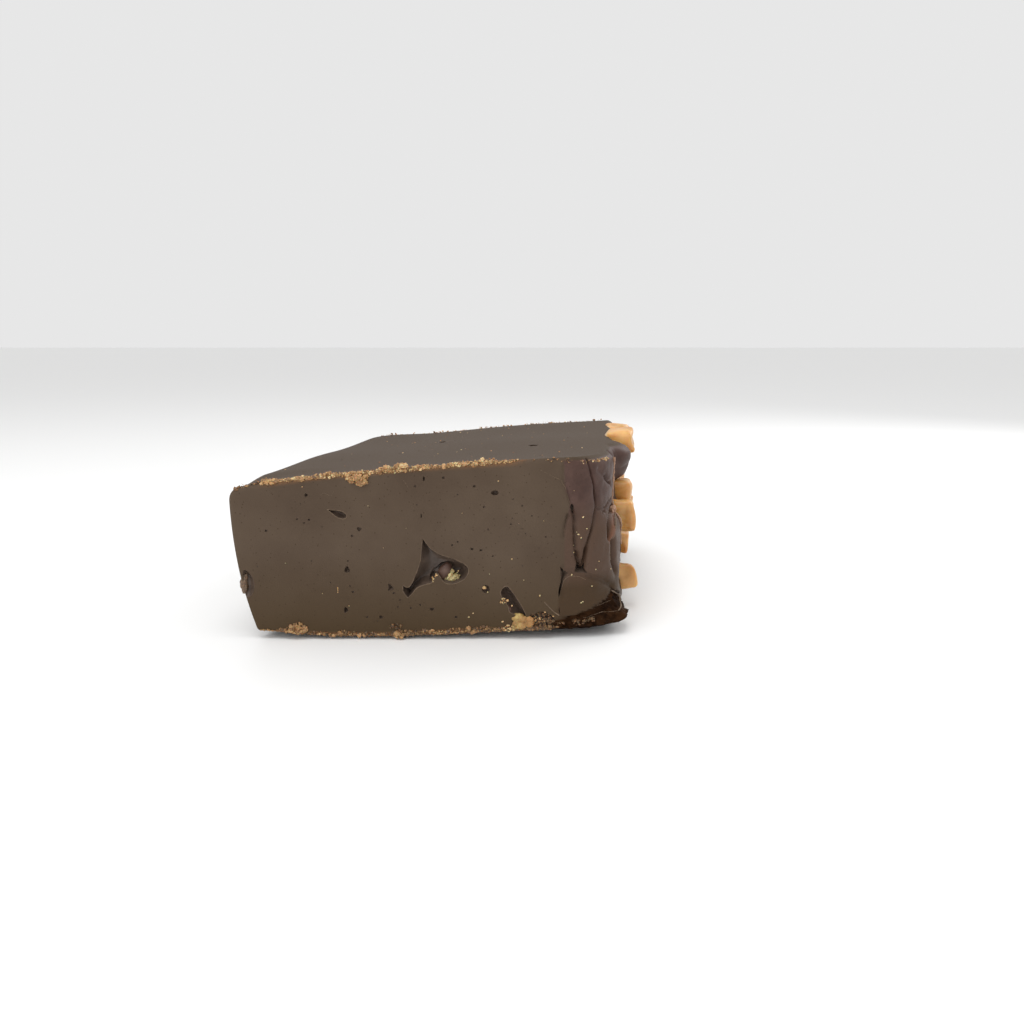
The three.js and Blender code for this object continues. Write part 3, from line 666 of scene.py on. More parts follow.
def build_mottle_group():
    group = new_group(
        "mottle",
        [("Vector", "NodeSocketVector", None), ("Patch Scale", "NodeSocketFloat", 90.0),
         ("Grain Scale", "NodeSocketFloat", 2600.0)],
        ["Patches", "Grain", "Specks"],
    )
    start = group.nodes.new("NodeGroupInput")
    end = group.nodes.new("NodeGroupOutput")
    patches = add(group, "ShaderNodeTexNoise", Detail=3.0, Roughness=0.55)
    grain = add(group, "ShaderNodeTexNoise", Detail=4.0, Roughness=0.65)
    cells = add(group, "ShaderNodeTexVoronoi", feature="F1")
    specks = add(group, "ShaderNodeMapRange", From_Min=0.16, From_Max=0.04)
    coarser = add(group, "ShaderNodeMath", operation="MULTIPLY")
    coarser.inputs[1].default_value = 0.45
    link = group.links.new
    for node in (patches, grain, cells):
        link(start.outputs["Vector"], node.inputs["Vector"])
    link(start.outputs["Patch Scale"], patches.inputs["Scale"])
    link(start.outputs["Grain Scale"], grain.inputs["Scale"])
    link(start.outputs["Grain Scale"], coarser.inputs[0])
    link(coarser.outputs[0], cells.inputs["Scale"])
    link(cells.outputs["Distance"], specks.inputs["Value"])
    link(patches.outputs["Fac"], end.inputs["Patches"])
    link(grain.outputs["Fac"], end.inputs["Grain"])
    link(specks.outputs["Result"], end.inputs["Specks"])
    return group


MOTTLE = build_mottle_group()
print("group sockets:", [s.name for s in MOTTLE.interface.items_tree])

# %% Helpers that every material uses


def start_material(name):
    """A new material, its tree, its shader and its object coordinates."""
    material = bpy.data.materials.new(name)
    material.use_nodes = True
    tree = material.node_tree
    place = add(tree, "ShaderNodeTexCoord").outputs["Object"]
    return material, tree, tree.nodes["Principled BSDF"], place


def mottled(tree, vector, patch_scale, grain_scale):
    """The mottle group at two scales: the higher a scale, the finer the pattern."""
    node = add(tree, "ShaderNodeGroup", node_tree=MOTTLE)
    set_values(node, Patch_Scale=patch_scale, Grain_Scale=grain_scale)
    tree.links.new(vector, node.inputs["Vector"])
    return node


COLOUR_SOCKETS = ("RGBA", 6, 7, 2)
NUMBER_SOCKETS = ("FLOAT", 2, 3, 0)


def blend(tree, factor, low, high, sockets=COLOUR_SOCKETS):
    """Mixes two colours, or two numbers, by a factor; each of them is a value or a socket."""
    kind, first, second, out = sockets
    node = add(tree, "ShaderNodeMix", data_type=kind)
    tree.links.new(factor, node.inputs[0])
    for value, socket in ((low, node.inputs[first]), (high, node.inputs[second])):
        if isinstance(value, bpy.types.NodeSocket):
            tree.links.new(value, socket)
        else:
            socket.default_value = value
    return node.outputs[out]


def between(tree, factor, start, end):
    """0 where a factor is at start, 1 where it is at end."""
    node = add(tree, "ShaderNodeMapRange", From_Min=start, From_Max=end)
    tree.links.new(factor, node.inputs["Value"])
    return node.outputs["Result"]


def bump(tree, shader, height, distance, strength):
    """Gives a shader fine relief from a height."""
    node = add(tree, "ShaderNodeBump", Distance=distance, Strength=strength)
    tree.links.new(height, node.inputs["Height"])
    tree.links.new(node.outputs["Normal"], shader.inputs["Normal"])


def attribute(tree, name):
    return add(tree, "ShaderNodeAttribute", attribute_name=name).outputs["Fac"]


# %% [markdown]
# The slab's own material reads masks that are stored on its vertices: how much a point belongs to the
# poured skin, to the broken foot, to the top, to a tan stain and to the dusty edges. They are stored
# rather than worked out in the shader, because the shader doesn't know the formulas of the shape. Low
# on the cut face the colour is darker and browner, partly its own tone and partly painted shade, as the
# foot of the face gets less light; the poured skin turns browner too, in two steps. The height in object
# coordinates, which is in metres, gives these changes.

# %% Fudge material
CUT_DARK, CUT_LIGHT = seen(78, 64, 52), seen(88, 74, 61)
# The low colour of the cut face is partly its own browner tone and partly painted shade, as the foot of
# the face gets less light.
CUT_LOW_TONE_AND_SHADE, CUT_TOP = seen(70, 55, 37), seen(73, 60, 48)
SKIN_DARK, SKIN_LIGHT = seen(71, 52, 46), seen(83, 62, 55)
SKIN_MIDDLE, SKIN_LOW = seen(80, 61, 49), seen(65, 48, 31)
INSIDE_DARK, INSIDE_LIGHT = seen(29, 17, 10), seen(57, 36, 21)
STAIN_TAN, DUST_TAN, SPECK_DARK = seen(108, 72, 53), seen(122, 87, 58), seen(60, 47, 34)
# Metres of height over which the colour changes.
CUT_LOW_TONE_AND_SHADE_OVER, SKIN_MIDDLE_OVER, SKIN_LOW_OVER = (0.016, 0.001), (0.026, 0.02), (0.0125, 0.0095)
COARSE_PATCHES, FINE_PATCHES, DUST_GRAIN = (0.32, 0.68), (0.35, 0.65), (0.36, 0.56)
# Roughness and sheen on the cut face, the poured skin and the inside.
ROUGH_CUT, ROUGH_SKIN, ROUGH_INSIDE = 0.62, 0.46, 0.42
SHEEN_CUT, SHEEN_SKIN, SHEEN_INSIDE = 0.12, 0.17, 0.01


def fudge_material():
    material, tree, shader, place = start_material("fudge_skin")
    link = tree.links.new
    coarse = mottled(tree, place, 75.0, 2400.0)
    fine = mottled(tree, place, 420.0, 5200.0)
    split = add(tree, "ShaderNodeSeparateXYZ")
    link(place, split.inputs[0])
    height = split.outputs["Z"]
    fine_patches = between(tree, fine.outputs["Patches"], *FINE_PATCHES)
    poured, broken = attribute(tree, "poured"), attribute(tree, "broken")
    cut = blend(tree, between(tree, coarse.outputs["Patches"], *COARSE_PATCHES), CUT_DARK, CUT_LIGHT)
    # Darker towards the foot of the cut face: partly its own tone, partly painted shade.
    cut = blend(tree, between(tree, height, *CUT_LOW_TONE_AND_SHADE_OVER), cut, CUT_LOW_TONE_AND_SHADE)
    cut = blend(tree, attribute(tree, "upper"), cut, CUT_TOP)
    skin = blend(tree, fine_patches, SKIN_DARK, SKIN_LIGHT)
    skin = blend(tree, between(tree, height, *SKIN_MIDDLE_OVER), skin, SKIN_MIDDLE)
    skin = blend(tree, between(tree, height, *SKIN_LOW_OVER), skin, SKIN_LOW)
    inside = blend(tree, fine_patches, INSIDE_DARK, INSIDE_LIGHT)
    dust = add(tree, "ShaderNodeMath", operation="MULTIPLY")
    link(attribute(tree, "dusty"), dust.inputs[0])
    link(between(tree, fine.outputs["Grain"], *DUST_GRAIN), dust.inputs[1])
    surface = blend(tree, poured, cut, skin)
    surface = blend(tree, attribute(tree, "stain"), surface, STAIN_TAN)
    surface = blend(tree, dust.outputs[0], surface, DUST_TAN)
    surface = blend(tree, broken, surface, inside)
    surface = blend(tree, coarse.outputs["Specks"], surface, SPECK_DARK)
    link(surface, shader.inputs["Base Color"])
    matt = blend(tree, poured, ROUGH_CUT, ROUGH_SKIN, NUMBER_SOCKETS)
    link(blend(tree, broken, matt, ROUGH_INSIDE, NUMBER_SOCKETS), shader.inputs["Roughness"])
    sheen = blend(tree, poured, SHEEN_CUT, SHEEN_SKIN, NUMBER_SOCKETS)
    sheen = blend(tree, broken, sheen, SHEEN_INSIDE, NUMBER_SOCKETS)
    link(sheen, shader.inputs["Specular IOR Level"])
    bump(tree, shader, fine.outputs["Grain"], 0.00005, 0.6)
    return material


def plain_fudge(name, dark, light, roughness, depth):
    """Fudge of one finish, for pockets, lips, films and ledges, and for painted highlights along edges.
    """
    material, tree, shader, place = start_material(name)
    fine = mottled(tree, place, 500.0, 3800.0)
    colour = blend(tree, between(tree, fine.outputs["Patches"], *FINE_PATCHES), dark, light)
    tree.links.new(colour, shader.inputs["Base Color"])
    set_values(shader, Roughness=roughness, Specular_IOR_Level=0.4)
    bump(tree, shader, fine.outputs["Grain"], depth, 0.7)
    return material


FUDGE = fudge_material()
POCKET = plain_fudge("fudge_pocket", seen(78, 65, 56), seen(93, 78, 67), 0.42, 0.00007)
# The lip colour is paler than the cut face: on the pocket lips and the lobe edges it is a painted
# highlight, on hair lines, the scratch and torn skin it is their own paler colour.
LIP_AND_HIGHLIGHT = plain_fudge("fudge_lip_and_highlight", seen(92, 75, 58), seen(112, 92, 72), 0.5, 0.00003)
# The film colour is pale: on the shoulder's rim it is a painted highlight along the edge, on the knob it
# is the knob's own tan.
FILM_AND_RIM_HIGHLIGHT = plain_fudge("fudge_film_and_rim_highlight", seen(142, 106, 84), seen(174, 136, 110), 0.45, 0.00003)
LEDGE = plain_fudge("fudge_ledge", seen(74, 52, 42), seen(94, 70, 58), 0.5, 0.00006)

# %% [markdown]
# ## Air pockets
# The knife cut through bubbles that were trapped as the fudge set. The largest was torn into a
# crescent with sharp tips, and a crumbly biscuit bit sits in it. Each pocket is a cutter: its outline
# becomes a face, which is extruded inwards in steps that get smaller, as a pulled-open bubble narrows
# to a valley line. The crescent has a second, deeper bubble in its right half. Small bubbles are
# squashed balls. One Boolean cuts everything but that deeper bubble, which crosses the crescent and so
# gets a second one. A few sharp cracks of the poured side are cut as narrow pockets too.

# %% Outlines of the large pockets: x, height; sharp points by number; the valley line; depth
CAVITY = {
    "sharp": (0, 6, 8, 14),
    "outline": [
        (-5.85, 18.75), (-6.1, 16.3), (-6.35, 14.5), (-7.0, 12.6), (-8.0, 10.35), (-8.75, 9.75),
        (-9.52, 10.2), (-9.5, 9.0), (-8.67, 7.8), (-7.8, 8.7), (-6.9, 9.7), (-5.5, 10.28), (-4.4, 10.55),
        (-3.75, 11.5), (-3.24, 12.3), (-2.67, 11.4), (-1.95, 10.55), (-0.36, 10.4), (1.58, 11.33),
        (2.28, 12.83), (1.61, 14.0), (-0.5, 15.05), (-2.6, 15.76), (-4.3, 16.8),
    ],
    "centre": [(-5.5, 17.4), (-4.55, 15.9), (-4.15, 14.5), (-4.35, 12.9), (-5.1, 11.9), (-7.2, 10.4),
               (-8.5, 8.9)],
    "depth": 2.6, "rough": 0.1,
}
LOBE = {
    "sharp": (3,),
    "outline": [
        (-5.35, 11.2), (-5.1, 10.5), (-4.3, 10.7), (-3.24, 12.35), (-2.6, 11.4), (-1.9, 10.6),
        (-0.36, 10.45), (1.55, 11.38), (2.22, 12.83), (1.75, 13.7), (0.4, 14.4), (-0.9, 14.7),
        (-2.1, 14.5), (-3.05, 14.05), (-4.0, 13.35), (-4.75, 12.4),
    ],
    "centre": [(-4.4, 11.9), (-2.8, 13.1), (-0.6, 12.6), (0.6, 12.4)], "depth": 3.3, "rough": 0.3,
}
ARCH = {
    "sharp": (5,),
    "outline": [
        (7.9, 8.5), (8.25, 9.5), (9.1, 9.95), (10.05, 8.9), (11.65, 6.4), (12.85, 3.9), (9.8, 4.9),
        (9.3, 6.1), (8.7, 7.2),
    ],
    "centre": [(8.7, 8.6), (9.6, 7.4), (10.3, 5.8), (11.0, 4.9)], "depth": 2.3, "rough": 0.2,
}
CRUMBLY_HOLLOW = {
    "sharp": (),
    "outline": [
        (13.3, 4.6), (13.3, 3.3), (14.0, 2.3), (15.4, 2.2), (17.0, 2.5), (17.8, 3.6), (17.2, 4.35),
        (16.3, 5.1), (14.9, 5.2), (14.2, 4.8),
    ],
    "centre": [(14.2, 4.0), (16.6, 3.6)], "depth": 1.5, "rough": 0.5,
}
SLIT = {
    "sharp": (0,),
    "outline": [
        (-22.55, 23.95), (-21.8, 23.85), (-20.9, 23.8), (-20.05, 23.65), (-19.3, 23.2), (-19.1, 22.65),
        (-19.6, 22.25), (-20.4, 22.35), (-21.2, 22.8), (-21.95, 23.45),
    ],
    "centre": [(-21.3, 23.4), (-19.9, 22.9)], "depth": 1.5, "rough": 0.1,
}
NUT_BED = {
    "sharp": (),
    "outline": [(-38.1, 12.6), (-37.1, 12.6), (-36.2, 11.1), (-36.2, 9.2), (-37.0, 8.0), (-38.0, 8.2)],
    "centre": [(-37.4, 11.5), (-37.3, 9.2)], "depth": 1.2, "rough": 0.2,
}
CREASE_PIT = {
    "sharp": (0, 2, 4, 6),
    "outline": [(21.1, 12.25), (22.3, 12.0), (23.7, 11.95), (23.1, 12.9), (22.95, 14.7), (22.35, 13.3),
                (21.75, 14.9), (21.3, 13.6)],
    "centre": [(21.8, 12.8), (22.8, 12.8)], "depth": 2.9, "rough": 0.1,
}
SEAM_PIT = {
    "sharp": (0, 2, 5),
    "outline": [(18.6, 13.6), (19.25, 12.9), (20.25, 12.25), (19.4, 11.0), (18.95, 9.6), (18.4, 7.7),
                (18.3, 8.6), (18.45, 9.7), (18.72, 11.2)],
    "centre": [(19.0, 12.5), (19.0, 11.4), (18.65, 10.0)], "depth": 1.7, "rough": 0.1,
}
NOTCH = {
    "sharp": (1, 3),
    "outline": [(20.2, 24.4), (20.5, 25.0), (20.9, 24.5), (20.95, 22.8), (20.5, 23.1)],
    "centre": [(20.55, 24.3), (20.7, 23.4)], "depth": 2.2, "rough": 0.05,
}
SMALL_CRACK = {
    "sharp": (0, 2),
    "outline": [(18.42, 6.1), (18.55, 5.6), (18.62, 4.7), (18.45, 5.1)],
    "centre": [(18.48, 5.6), (18.53, 5.2)], "depth": 1.4, "rough": 0.05,
}
CORNERED = {
    "sharp": (0, 2, 5),
    "outline": [(-12.15, 10.5), (-11.7, 10.25), (-11.1, 9.6), (-11.35, 9.3), (-11.75, 9.2), (-12.2, 9.1),
                (-12.1, 9.8)],
    "centre": [(-11.95, 9.9), (-11.75, 9.6)], "depth": 0.9, "rough": 0.05,
}
FIRST_HOLLOWS = (CAVITY, ARCH, CRUMBLY_HOLLOW, SLIT, NUT_BED, CREASE_PIT, SEAM_PIT, NOTCH, SMALL_CRACK,
                 CORNERED)
HOLLOWS = (*FIRST_HOLLOWS, LOBE)

# %% Cutters for the large pockets: each step's share of the depth and of the way to the valley line
SHRINK = ((0.0, 1.0), (0.1, 0.97), (0.3, 0.89), (0.5, 0.76), (0.7, 0.57), (0.88, 0.35), (1.0, 0.13))
OUTLINE_STEPS = 5
# The cutters start this far in front of the cut face, and are shallower where they are narrow.
STAND_OFF = 1.5
NARROW_DEPTH, WIDE = 0.4, 1.6
ROUGH_SCALE = 0.9


def smooth_outline(hollow):
    """A hollow's outline as a closed smooth line, with its sharp points kept as corners."""
    points, sharp = [np.array(p) for p in hollow["outline"]], hollow["sharp"]
    count = len(points)
    made = []
    for i, start in enumerate(points):
        end = points[(i + 1) % count]
        before = 2 * start - end if i in sharp else points[i - 1]
        after = 2 * end - start if (i + 1) % count in sharp else points[(i + 2) % count]
        made += curve_between(before, start, end, after, OUTLINE_STEPS)
    return made


def order_like(verts, ring):
    """The extruded vertices in the order of the ring that they came from."""
    by_place = {tuple(round(c, 5) for c in v.co): v for v in verts}
    return [by_place[tuple(round(c, 5) for c in v.co)] for v in ring]


def nearest_on(line, point):
    """The nearest point of a line of points to a point."""
    best = None
    for a, b in zip(line, line[1:]):
        a, b = np.array(a), np.array(b)
        share = np.clip(np.dot(point - a, b - a) / np.dot(b - a, b - a), 0.0, 1.0)
        foot = a + (b - a) * share
        if best is None or np.linalg.norm(point - foot) < np.linalg.norm(point - best):
            best = foot
    return best


def add_hollow(bm, hollow):
    """Adds a cutter: the outline as a face, extruded inwards in steps that narrow to the valley line."""
    outline = smooth_outline(hollow)
    valley = [nearest_on(hollow["centre"], p) for p in outline]
    ring = [bm.verts.new((x, -BACK - STAND_OFF, z)) for x, z in outline]
    edges = list(bm.faces.new(ring).edges)
    for deep, scale in SHRINK:
        grown = bmesh.ops.extrude_edge_only(bm, edges=edges)["geom"]
        edges = [g for g in grown if isinstance(g, bmesh.types.BMEdge)]
        ring = order_like([g for g in grown if isinstance(g, bmesh.types.BMVert)], ring)
        for vert, (x, z), (foot_x, foot_z) in zip(ring, outline, valley):
            narrow = min(1.0, NARROW_DEPTH + math.hypot(x - foot_x, z - foot_z) / WIDE)
            y = -BACK + deep * narrow * hollow["depth"]
            vert.co = (mix(foot_x, x, scale), y, mix(foot_z, z, scale))
            shift = noise.noise_vector(vert.co * ROUGH_SCALE)
            vert.co += Vector((shift.x, shift.y * 0.8, shift.z)) * hollow["rough"] * deep
    bmesh.ops.contextual_create(bm, geom=edges)


# %% [markdown]
# The bubbles that stand out are listed: x, height, width and height of each. Many tiny ones
# are scattered by a seeded rule, on the front, the top, the back and the left side, since the knife
# cut all of them.

# %% Bubbles
BUBBLES = [
    (-26.1, 26.5, 0.6, 0.65), (-25.8, 22.1, 0.45, 0.39), (-27.9, 22.2, 0.36, 0.29),
    (-26.7, 21.5, 0.36, 0.29), (-33.5, 20.1, 0.54, 0.46), (-17.0, 20.4, 0.78, 0.72),
    (-18.3, 19.2, 0.46, 0.39), (-5.4, 29.4, 0.36, 0.89), (-2.0, 29.6, 0.54, 0.46),
    (-7.0, 28.1, 0.46, 0.43), (-6.7, 24.8, 0.27, 0.27), (-6.0, 22.8, 0.2, 0.89), (0.4, 18.1, 0.36, 0.36),
    (-0.6, 17.5, 0.36, 0.36), (-19.4, 13.0, 0.95, 1.2), (-19.2, 14.6, 0.29, 0.4),
    (-11.2, 8.7, 0.46, 0.36), (-19.0, 10.0, 0.32, 0.29),
    (-18.5, 8.9, 0.46, 0.36), (-19.9, 5.5, 0.79, 1.07), (-10.1, 7.4, 0.36, 0.32),
    (-10.5, 6.1, 0.32, 0.29), (-8.2, 5.9, 0.36, 0.32), (-6.5, 6.5, 0.36, 0.32), (-4.4, 5.7, 0.82, 0.6),
    (-13.6, 4.2, 0.71, 0.61), (-16.1, 4.2, 0.36, 0.32), (-0.1, 4.2, 0.54, 0.43), (3.4, 28.1, 0.54, 0.46),
    (7.0, 26.9, 1.35, 0.9), (5.1, 24.4, 0.45, 0.43), (9.8, 21.3, 0.36, 0.32), (11.8, 24.6, 0.36, 0.29),
    (10.2, 25.8, 0.27, 0.25), (13.5, 22.8, 0.27, 0.25), (16.0, 19.0, 0.36, 0.29),
    (5.8, 20.3, 0.32, 0.29), (2.9, 16.8, 0.54, 0.36), (4.5, 16.6, 0.5, 0.36), (6.6, 15.5, 0.36, 0.32),
    (5.3, 9.4, 1.45, 1.5),
]
# In the top and the back cut: place on the straight box, size, turn in degrees.
OTHER_POCKETS = [
    ((29, 45, RISE), (4.6, 2.0, 2.2), 28), ((53, 24, RISE), (2.2, 1.6, 1.6), -35),
    ((43, DEPTH, 16.5), (6.2, 3.6, 3.4), 18), ((20, DEPTH, 9.5), (2.0, 1.8, 2.4), -30),
]
# Middling bubbles have three soft corners, and the widest are almost round.
MIDDLING, WIDEST, BUBBLE_DEEP = 0.58, 1.3, 1.35
TINY, BUBBLE_GAP = (0.12, 0.28), 0.5


def add_bubble(bm, middle, size, detail, seed, dented=0.28, turn=None, corners=0.0):
    """A dented ball, with three soft corners where asked for, as a cutter or as a piece of its own."""
    made = bmesh.ops.create_icosphere(bm, subdivisions=detail, radius=0.5)
    turn = turn or Matrix.Identity(3)
    for vert in made["verts"]:
        dent = 1.0 + dented * noise.noise(vert.co * 3.4 + Vector((seed * 1.7, seed, 0.0)))
        dent += corners * math.cos(3.0 * math.atan2(vert.co.z, vert.co.x) + seed)
        grown = Vector(vert.co[i] * size[i] * dent for i in range(3))
        vert.co = turn @ grown + Vector(middle)


def tiny_bubbles(count, seed, draw_spot):
    """Places and sizes of tiny bubbles that keep clear of the larger pockets."""
    draw = random.Random(seed)
    taken = [(x, z, max(w, h)) for x, z, w, h in BUBBLES]
    for hollow in HOLLOWS:
        xs, zs = zip(*hollow["outline"])
        middle = ((max(xs) + min(xs)) / 2, (max(zs) + min(zs)) / 2)
        taken.append((*middle, max(max(xs) - min(xs), max(zs) - min(zs)) + 1.0))
    made = []
    while len(made) < count:
        spot = draw_spot(draw)
        if all(math.hypot(spot[0] - x, spot[2] - z) > BUBBLE_GAP + w / 2 for x, z, w in taken):
            size = mix(*TINY, draw.random() ** 2)
            made.append((spot, size))
            taken.append((spot[0], spot[2], size))
    return made


def front_spot(x, z, sunk=0.0):
    """A point of the front cut, `sunk` behind it."""
    return np.array([x, -BACK + front_wave(np.float64(x), np.float64(z)) + sunk, z])


# %% Make the cutters
cutter_mesh = bmesh.new()
for hollow in FIRST_HOLLOWS:
    add_hollow(cutter_mesh, hollow)
for number, (x, z, width, height) in enumerate(BUBBLES):
    corners = 0.16 if MIDDLING < width < WIDEST else 0.02
    dented = 0.04 if width > WIDEST else 0.16
    size = (width, BUBBLE_DEEP * max(width, height), height)
    add_bubble(cutter_mesh, front_spot(x, z, 0.02), size, 3, number, dented, corners=corners)
for place, size, turn in OTHER_POCKETS:
    axis = "Z" if place[2] == RISE else "Y"
    spin = Matrix.Rotation(math.radians(turn), 3, axis)
    add_bubble(cutter_mesh, slab_points([place])[0], size, 4, place[0], 0.5, spin)


def front_draw(draw):
    """A random point of the front cut."""
    x = draw.uniform(-37.0, 17.0)
    highest = 27.0 + 0.07 * draw.uniform(0, 20)
    return front_spot(x, draw.uniform(2.5, highest), 0.05)


for number, (spot, size) in enumerate(tiny_bubbles(44, 11, front_draw)):
    add_bubble(cutter_mesh, spot, (size, size, size), 2, number + 50)
SCATTERED = (
    (44, 12, lambda d: slab_points([(d.uniform(3, 62), d.uniform(3, 69), RISE)])[0]),
    (44, 13, lambda d: slab_points([(d.uniform(3, 67), DEPTH, d.uniform(3, 27))])[0]),
    (30, 14, lambda d: slab_points([(0.0, d.uniform(3, 69), d.uniform(3, 26))])[0]),
)
for count, seed, draw_spot in SCATTERED:
    for number, (spot, size) in enumerate(tiny_bubbles(count, seed, draw_spot)):
        add_bubble(cutter_mesh, spot, (size * 2.6, size * 2.6, size * 2.3), 2, seed * 50 + number, 0.3)
print("cutter faces:", len(cutter_mesh.faces))
lobe_mesh = bmesh.new()
add_hollow(lobe_mesh, LOBE)

# %% Cut the pockets


def in_metres(bm):
    """Turns a mesh in the slice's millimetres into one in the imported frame's metres."""
    for vert in bm.verts:
        vert.co = to_metres(vert.co)
    return bm


def cut(target, bm):
    """Cuts a closed mesh, in millimetres, out of an object; the new faces get its second material."""
    bmesh.ops.recalc_face_normals(bm, faces=bm.faces)
    for face in bm.faces:
        face.material_index = 1
    cutter = object_from("pocket_cutter", in_metres(bm), [FUDGE, POCKET])
    modifier = target.modifiers.new("cut", "BOOLEAN")
    modifier.operation = "DIFFERENCE"
    modifier.solver = "MANIFOLD"
    modifier.object = cutter
    with bpy.context.temp_override(object=target, active_object=target):
        bpy.ops.object.modifier_apply(modifier=modifier.name)
    bpy.data.objects.remove(cutter)


def keep_rims_crisp(mesh, sharpest=0.8):
    """Marks the rims of the pockets and their inner ridges, so that they shade as edges."""
    bm = bmesh.new()
    bm.from_mesh(mesh)
    for edge in bm.edges:
        kinds = {face.material_index for face in edge.link_faces}
        edge.smooth = len(kinds) < 2 and (kinds == {0} or edge.calc_face_angle(0.0) < sharpest)
    bm.to_mesh(mesh)
    bm.free()


slab = object_from("fudge_slab", slab_mesh, [FUDGE, POCKET])
before = len(slab.data.polygons)
cut(slab, cutter_mesh)
cut(slab, lobe_mesh)
slab.data.shade_smooth()
keep_rims_crisp(slab.data)
slab.data.calc_loop_triangles()
print("slab faces before:", before, "triangles after:", len(slab.data.loop_triangles))

# %% Store the masks


def store_mask(mesh, name, values):
    mask = mesh.attributes.new(name, "FLOAT", "POINT")
    mask.data.foreach_set("value", np.asarray(values, np.float32))


def points_of(mesh):
    """A mesh's vertices in the slice's own millimetres."""
    flat = np.empty(3 * len(mesh.vertices))
    mesh.vertices.foreach_get("co", flat)
    return flat.reshape(-1, 3) / MM - CENTRING


# Where the poured skin begins at the front: height, x.
SKIN_EDGE = [(0, 18.0), (8, 18.4), (11, 18.8), (13.5, 19.4), (16, 19.3), (20, 19.2), (23, 19.9),
             (25, 20.2), (27.5, 19.2), (33, 19.1)]
SKIN_WANDER, SKIN_FADE = (0.12, 1.2), 0.35
STAIN = [(29.4, 22.1), (29.1, 20.8), (28.7, 19.1), (28.3, 17.3)]
STAIN_REACH, STAIN_CORE = 1.26, 0.36
DUST_REACH, DUST_CORE = 1.15, 0.35


def on_slab(points):
    """The height, the depth and the share of the width of points of the slab."""
    x, y, z = points.T
    depth = np.clip(y + BACK, 0.0, DEPTH)
    left, right = left_side(depth, z), right_side(depth, z)
    return z, depth, np.clip((x - left) / (right - left), 0.0, 1.0)


def poured_mask(points):
    """1 on the poured side, 0 on the cut faces: front, top and back."""
    z, depth, share = on_slab(points)
    begins = np.interp(z, *np.array(SKIN_EDGE).T) + SKEW_RIGHT * depth / DEPTH
    past = points[:, 0] - begins + wave(z, z * 2.0, 0.0 * z, SKIN_WANDER)
    not_top = 1.0 - ramp(z - top_height(share, depth), -0.75, -0.35)
    return soft(past / SKIN_FADE + 0.5) * not_top * (1.0 - ramp(depth, DEPTH - 0.5, DEPTH - 0.2))


def upper_mask(points):
    """1 on the top, 0 on the front cut and the sides."""
    z, depth, share = on_slab(points)
    return ramp(z - top_height(share, depth), -0.9, -0.5) * ramp(depth, 0.0, 0.8)


def dusty_mask(points):
    """1 on the knife's long edges at the front and the back, fading within about a millimetre."""
    z, depth, share = on_slab(points)
    up = np.minimum(np.abs(top_height(share, depth) - z), np.abs(z - lift(share, depth)))
    across = np.minimum(depth, DEPTH - depth)
    ends = ramp(share, 0.08, 0.14) * ramp(share, 0.88, 0.82)
    return ramp(np.hypot(up, across), DUST_REACH, DUST_CORE) * ends


places = points_of(slab.data)
from_stain = nearest(places, path_on(on_shoulder, STAIN, 0.2))
masks = {
    "poured": poured_mask(places), "broken": broken_share(places), "upper": upper_mask(places),
    "dusty": dusty_mask(places), "stain": ramp(from_stain, STAIN_REACH, STAIN_CORE),
}
for name, values in masks.items():
    store_mask(slab.data, name, values)


def on_surface(x, z, proud=0.0):
    """The slab's finished surface straight behind a point, seen from the front, in millimetres."""
    start = to_metres((x, -BACK - 5.0, z))
    found, place, _, _ = slab.ray_cast(Vector(start), Vector((0.0, 1.0, 0.0)))
    at = np.array(place) / MM - CENTRING if found else np.array((x, -BACK, z))
    return at - np.array((0.0, proud, 0.0))


bpy.context.view_layer.update()
print("surface behind (22, 10), mm:", on_surface(22.0, 10.0).round(2))
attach(slab, "root")
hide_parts("fudge")

# %% [markdown]
# ## Lips, ledges, hair lines and painted highlights
# The knife pushes a thin lip of fudge up along the edge of the largest pockets, and it catches the light.
# Each lip is a thin tube along the pocket's outline, half sunk in the face, with an uneven thickness, and
# its paler colour paints a highlight along the rim. Hair lines, a scratch and the thin edges of torn skin
# are made the same way, and so are painted highlights along the lobes' edges and the pale rim along the
# shoulder's right edge, whose pale colour is a painted highlight there; its first stretch ends in a knob.
# Rounded ledges inside the pockets are what is left of the walls between two bubbles.

# %% Lines of the lips, hair lines, films and painted highlights: x, height, and for the rim depth, height
HAIR_LINES = [
    [(-23.9, 26.2), (-23.0, 26.9), (-21.8, 26.4), (-21.2, 27.2)],
    [(-10.4, 31.0), (-9.0, 29.2), (-7.9, 27.4)],
    [(14.9, 31.0), (16.6, 30.1), (18.3, 29.3)],
]
SCRATCH = [(15.8, 7.0), (16.9, 5.8), (17.6, 5.1), (18.5, 4.5)]
# Torn film in the broken foot, and painted highlights along the lobes' edges.
TORN_FILM = [
    [(25.4, 5.85), (26.1, 5.95), (26.7, 6.05), (28.1, 6.25)],
    [(24.2, 4.0), (25.3, 4.3), (26.3, 4.6), (27.2, 4.5), (28.2, 4.55), (29.5, 4.5)],
    [(22.9, 3.9), (23.6, 3.75), (24.3, 3.9), (25.0, 3.8)],
]
LOBE_EDGE_HIGHLIGHTS = [
    [(18.7, 29.2), (18.8, 28.6), (19.3, 27.9), (19.65, 26.7), (20.15, 25.1)],
    [(19.0, 9.7), (19.3, 10.8), (19.7, 11.25), (20.3, 11.65), (21.3, 11.65), (22.2, 11.45), (23.2, 10.9)],
]
SKIN_END = [(28.3, 7.9), (29.0, 7.35), (29.75, 6.7), (29.8, 6.0), (29.9, 5.4), (29.7, 5.0), (29.3, 4.75)]
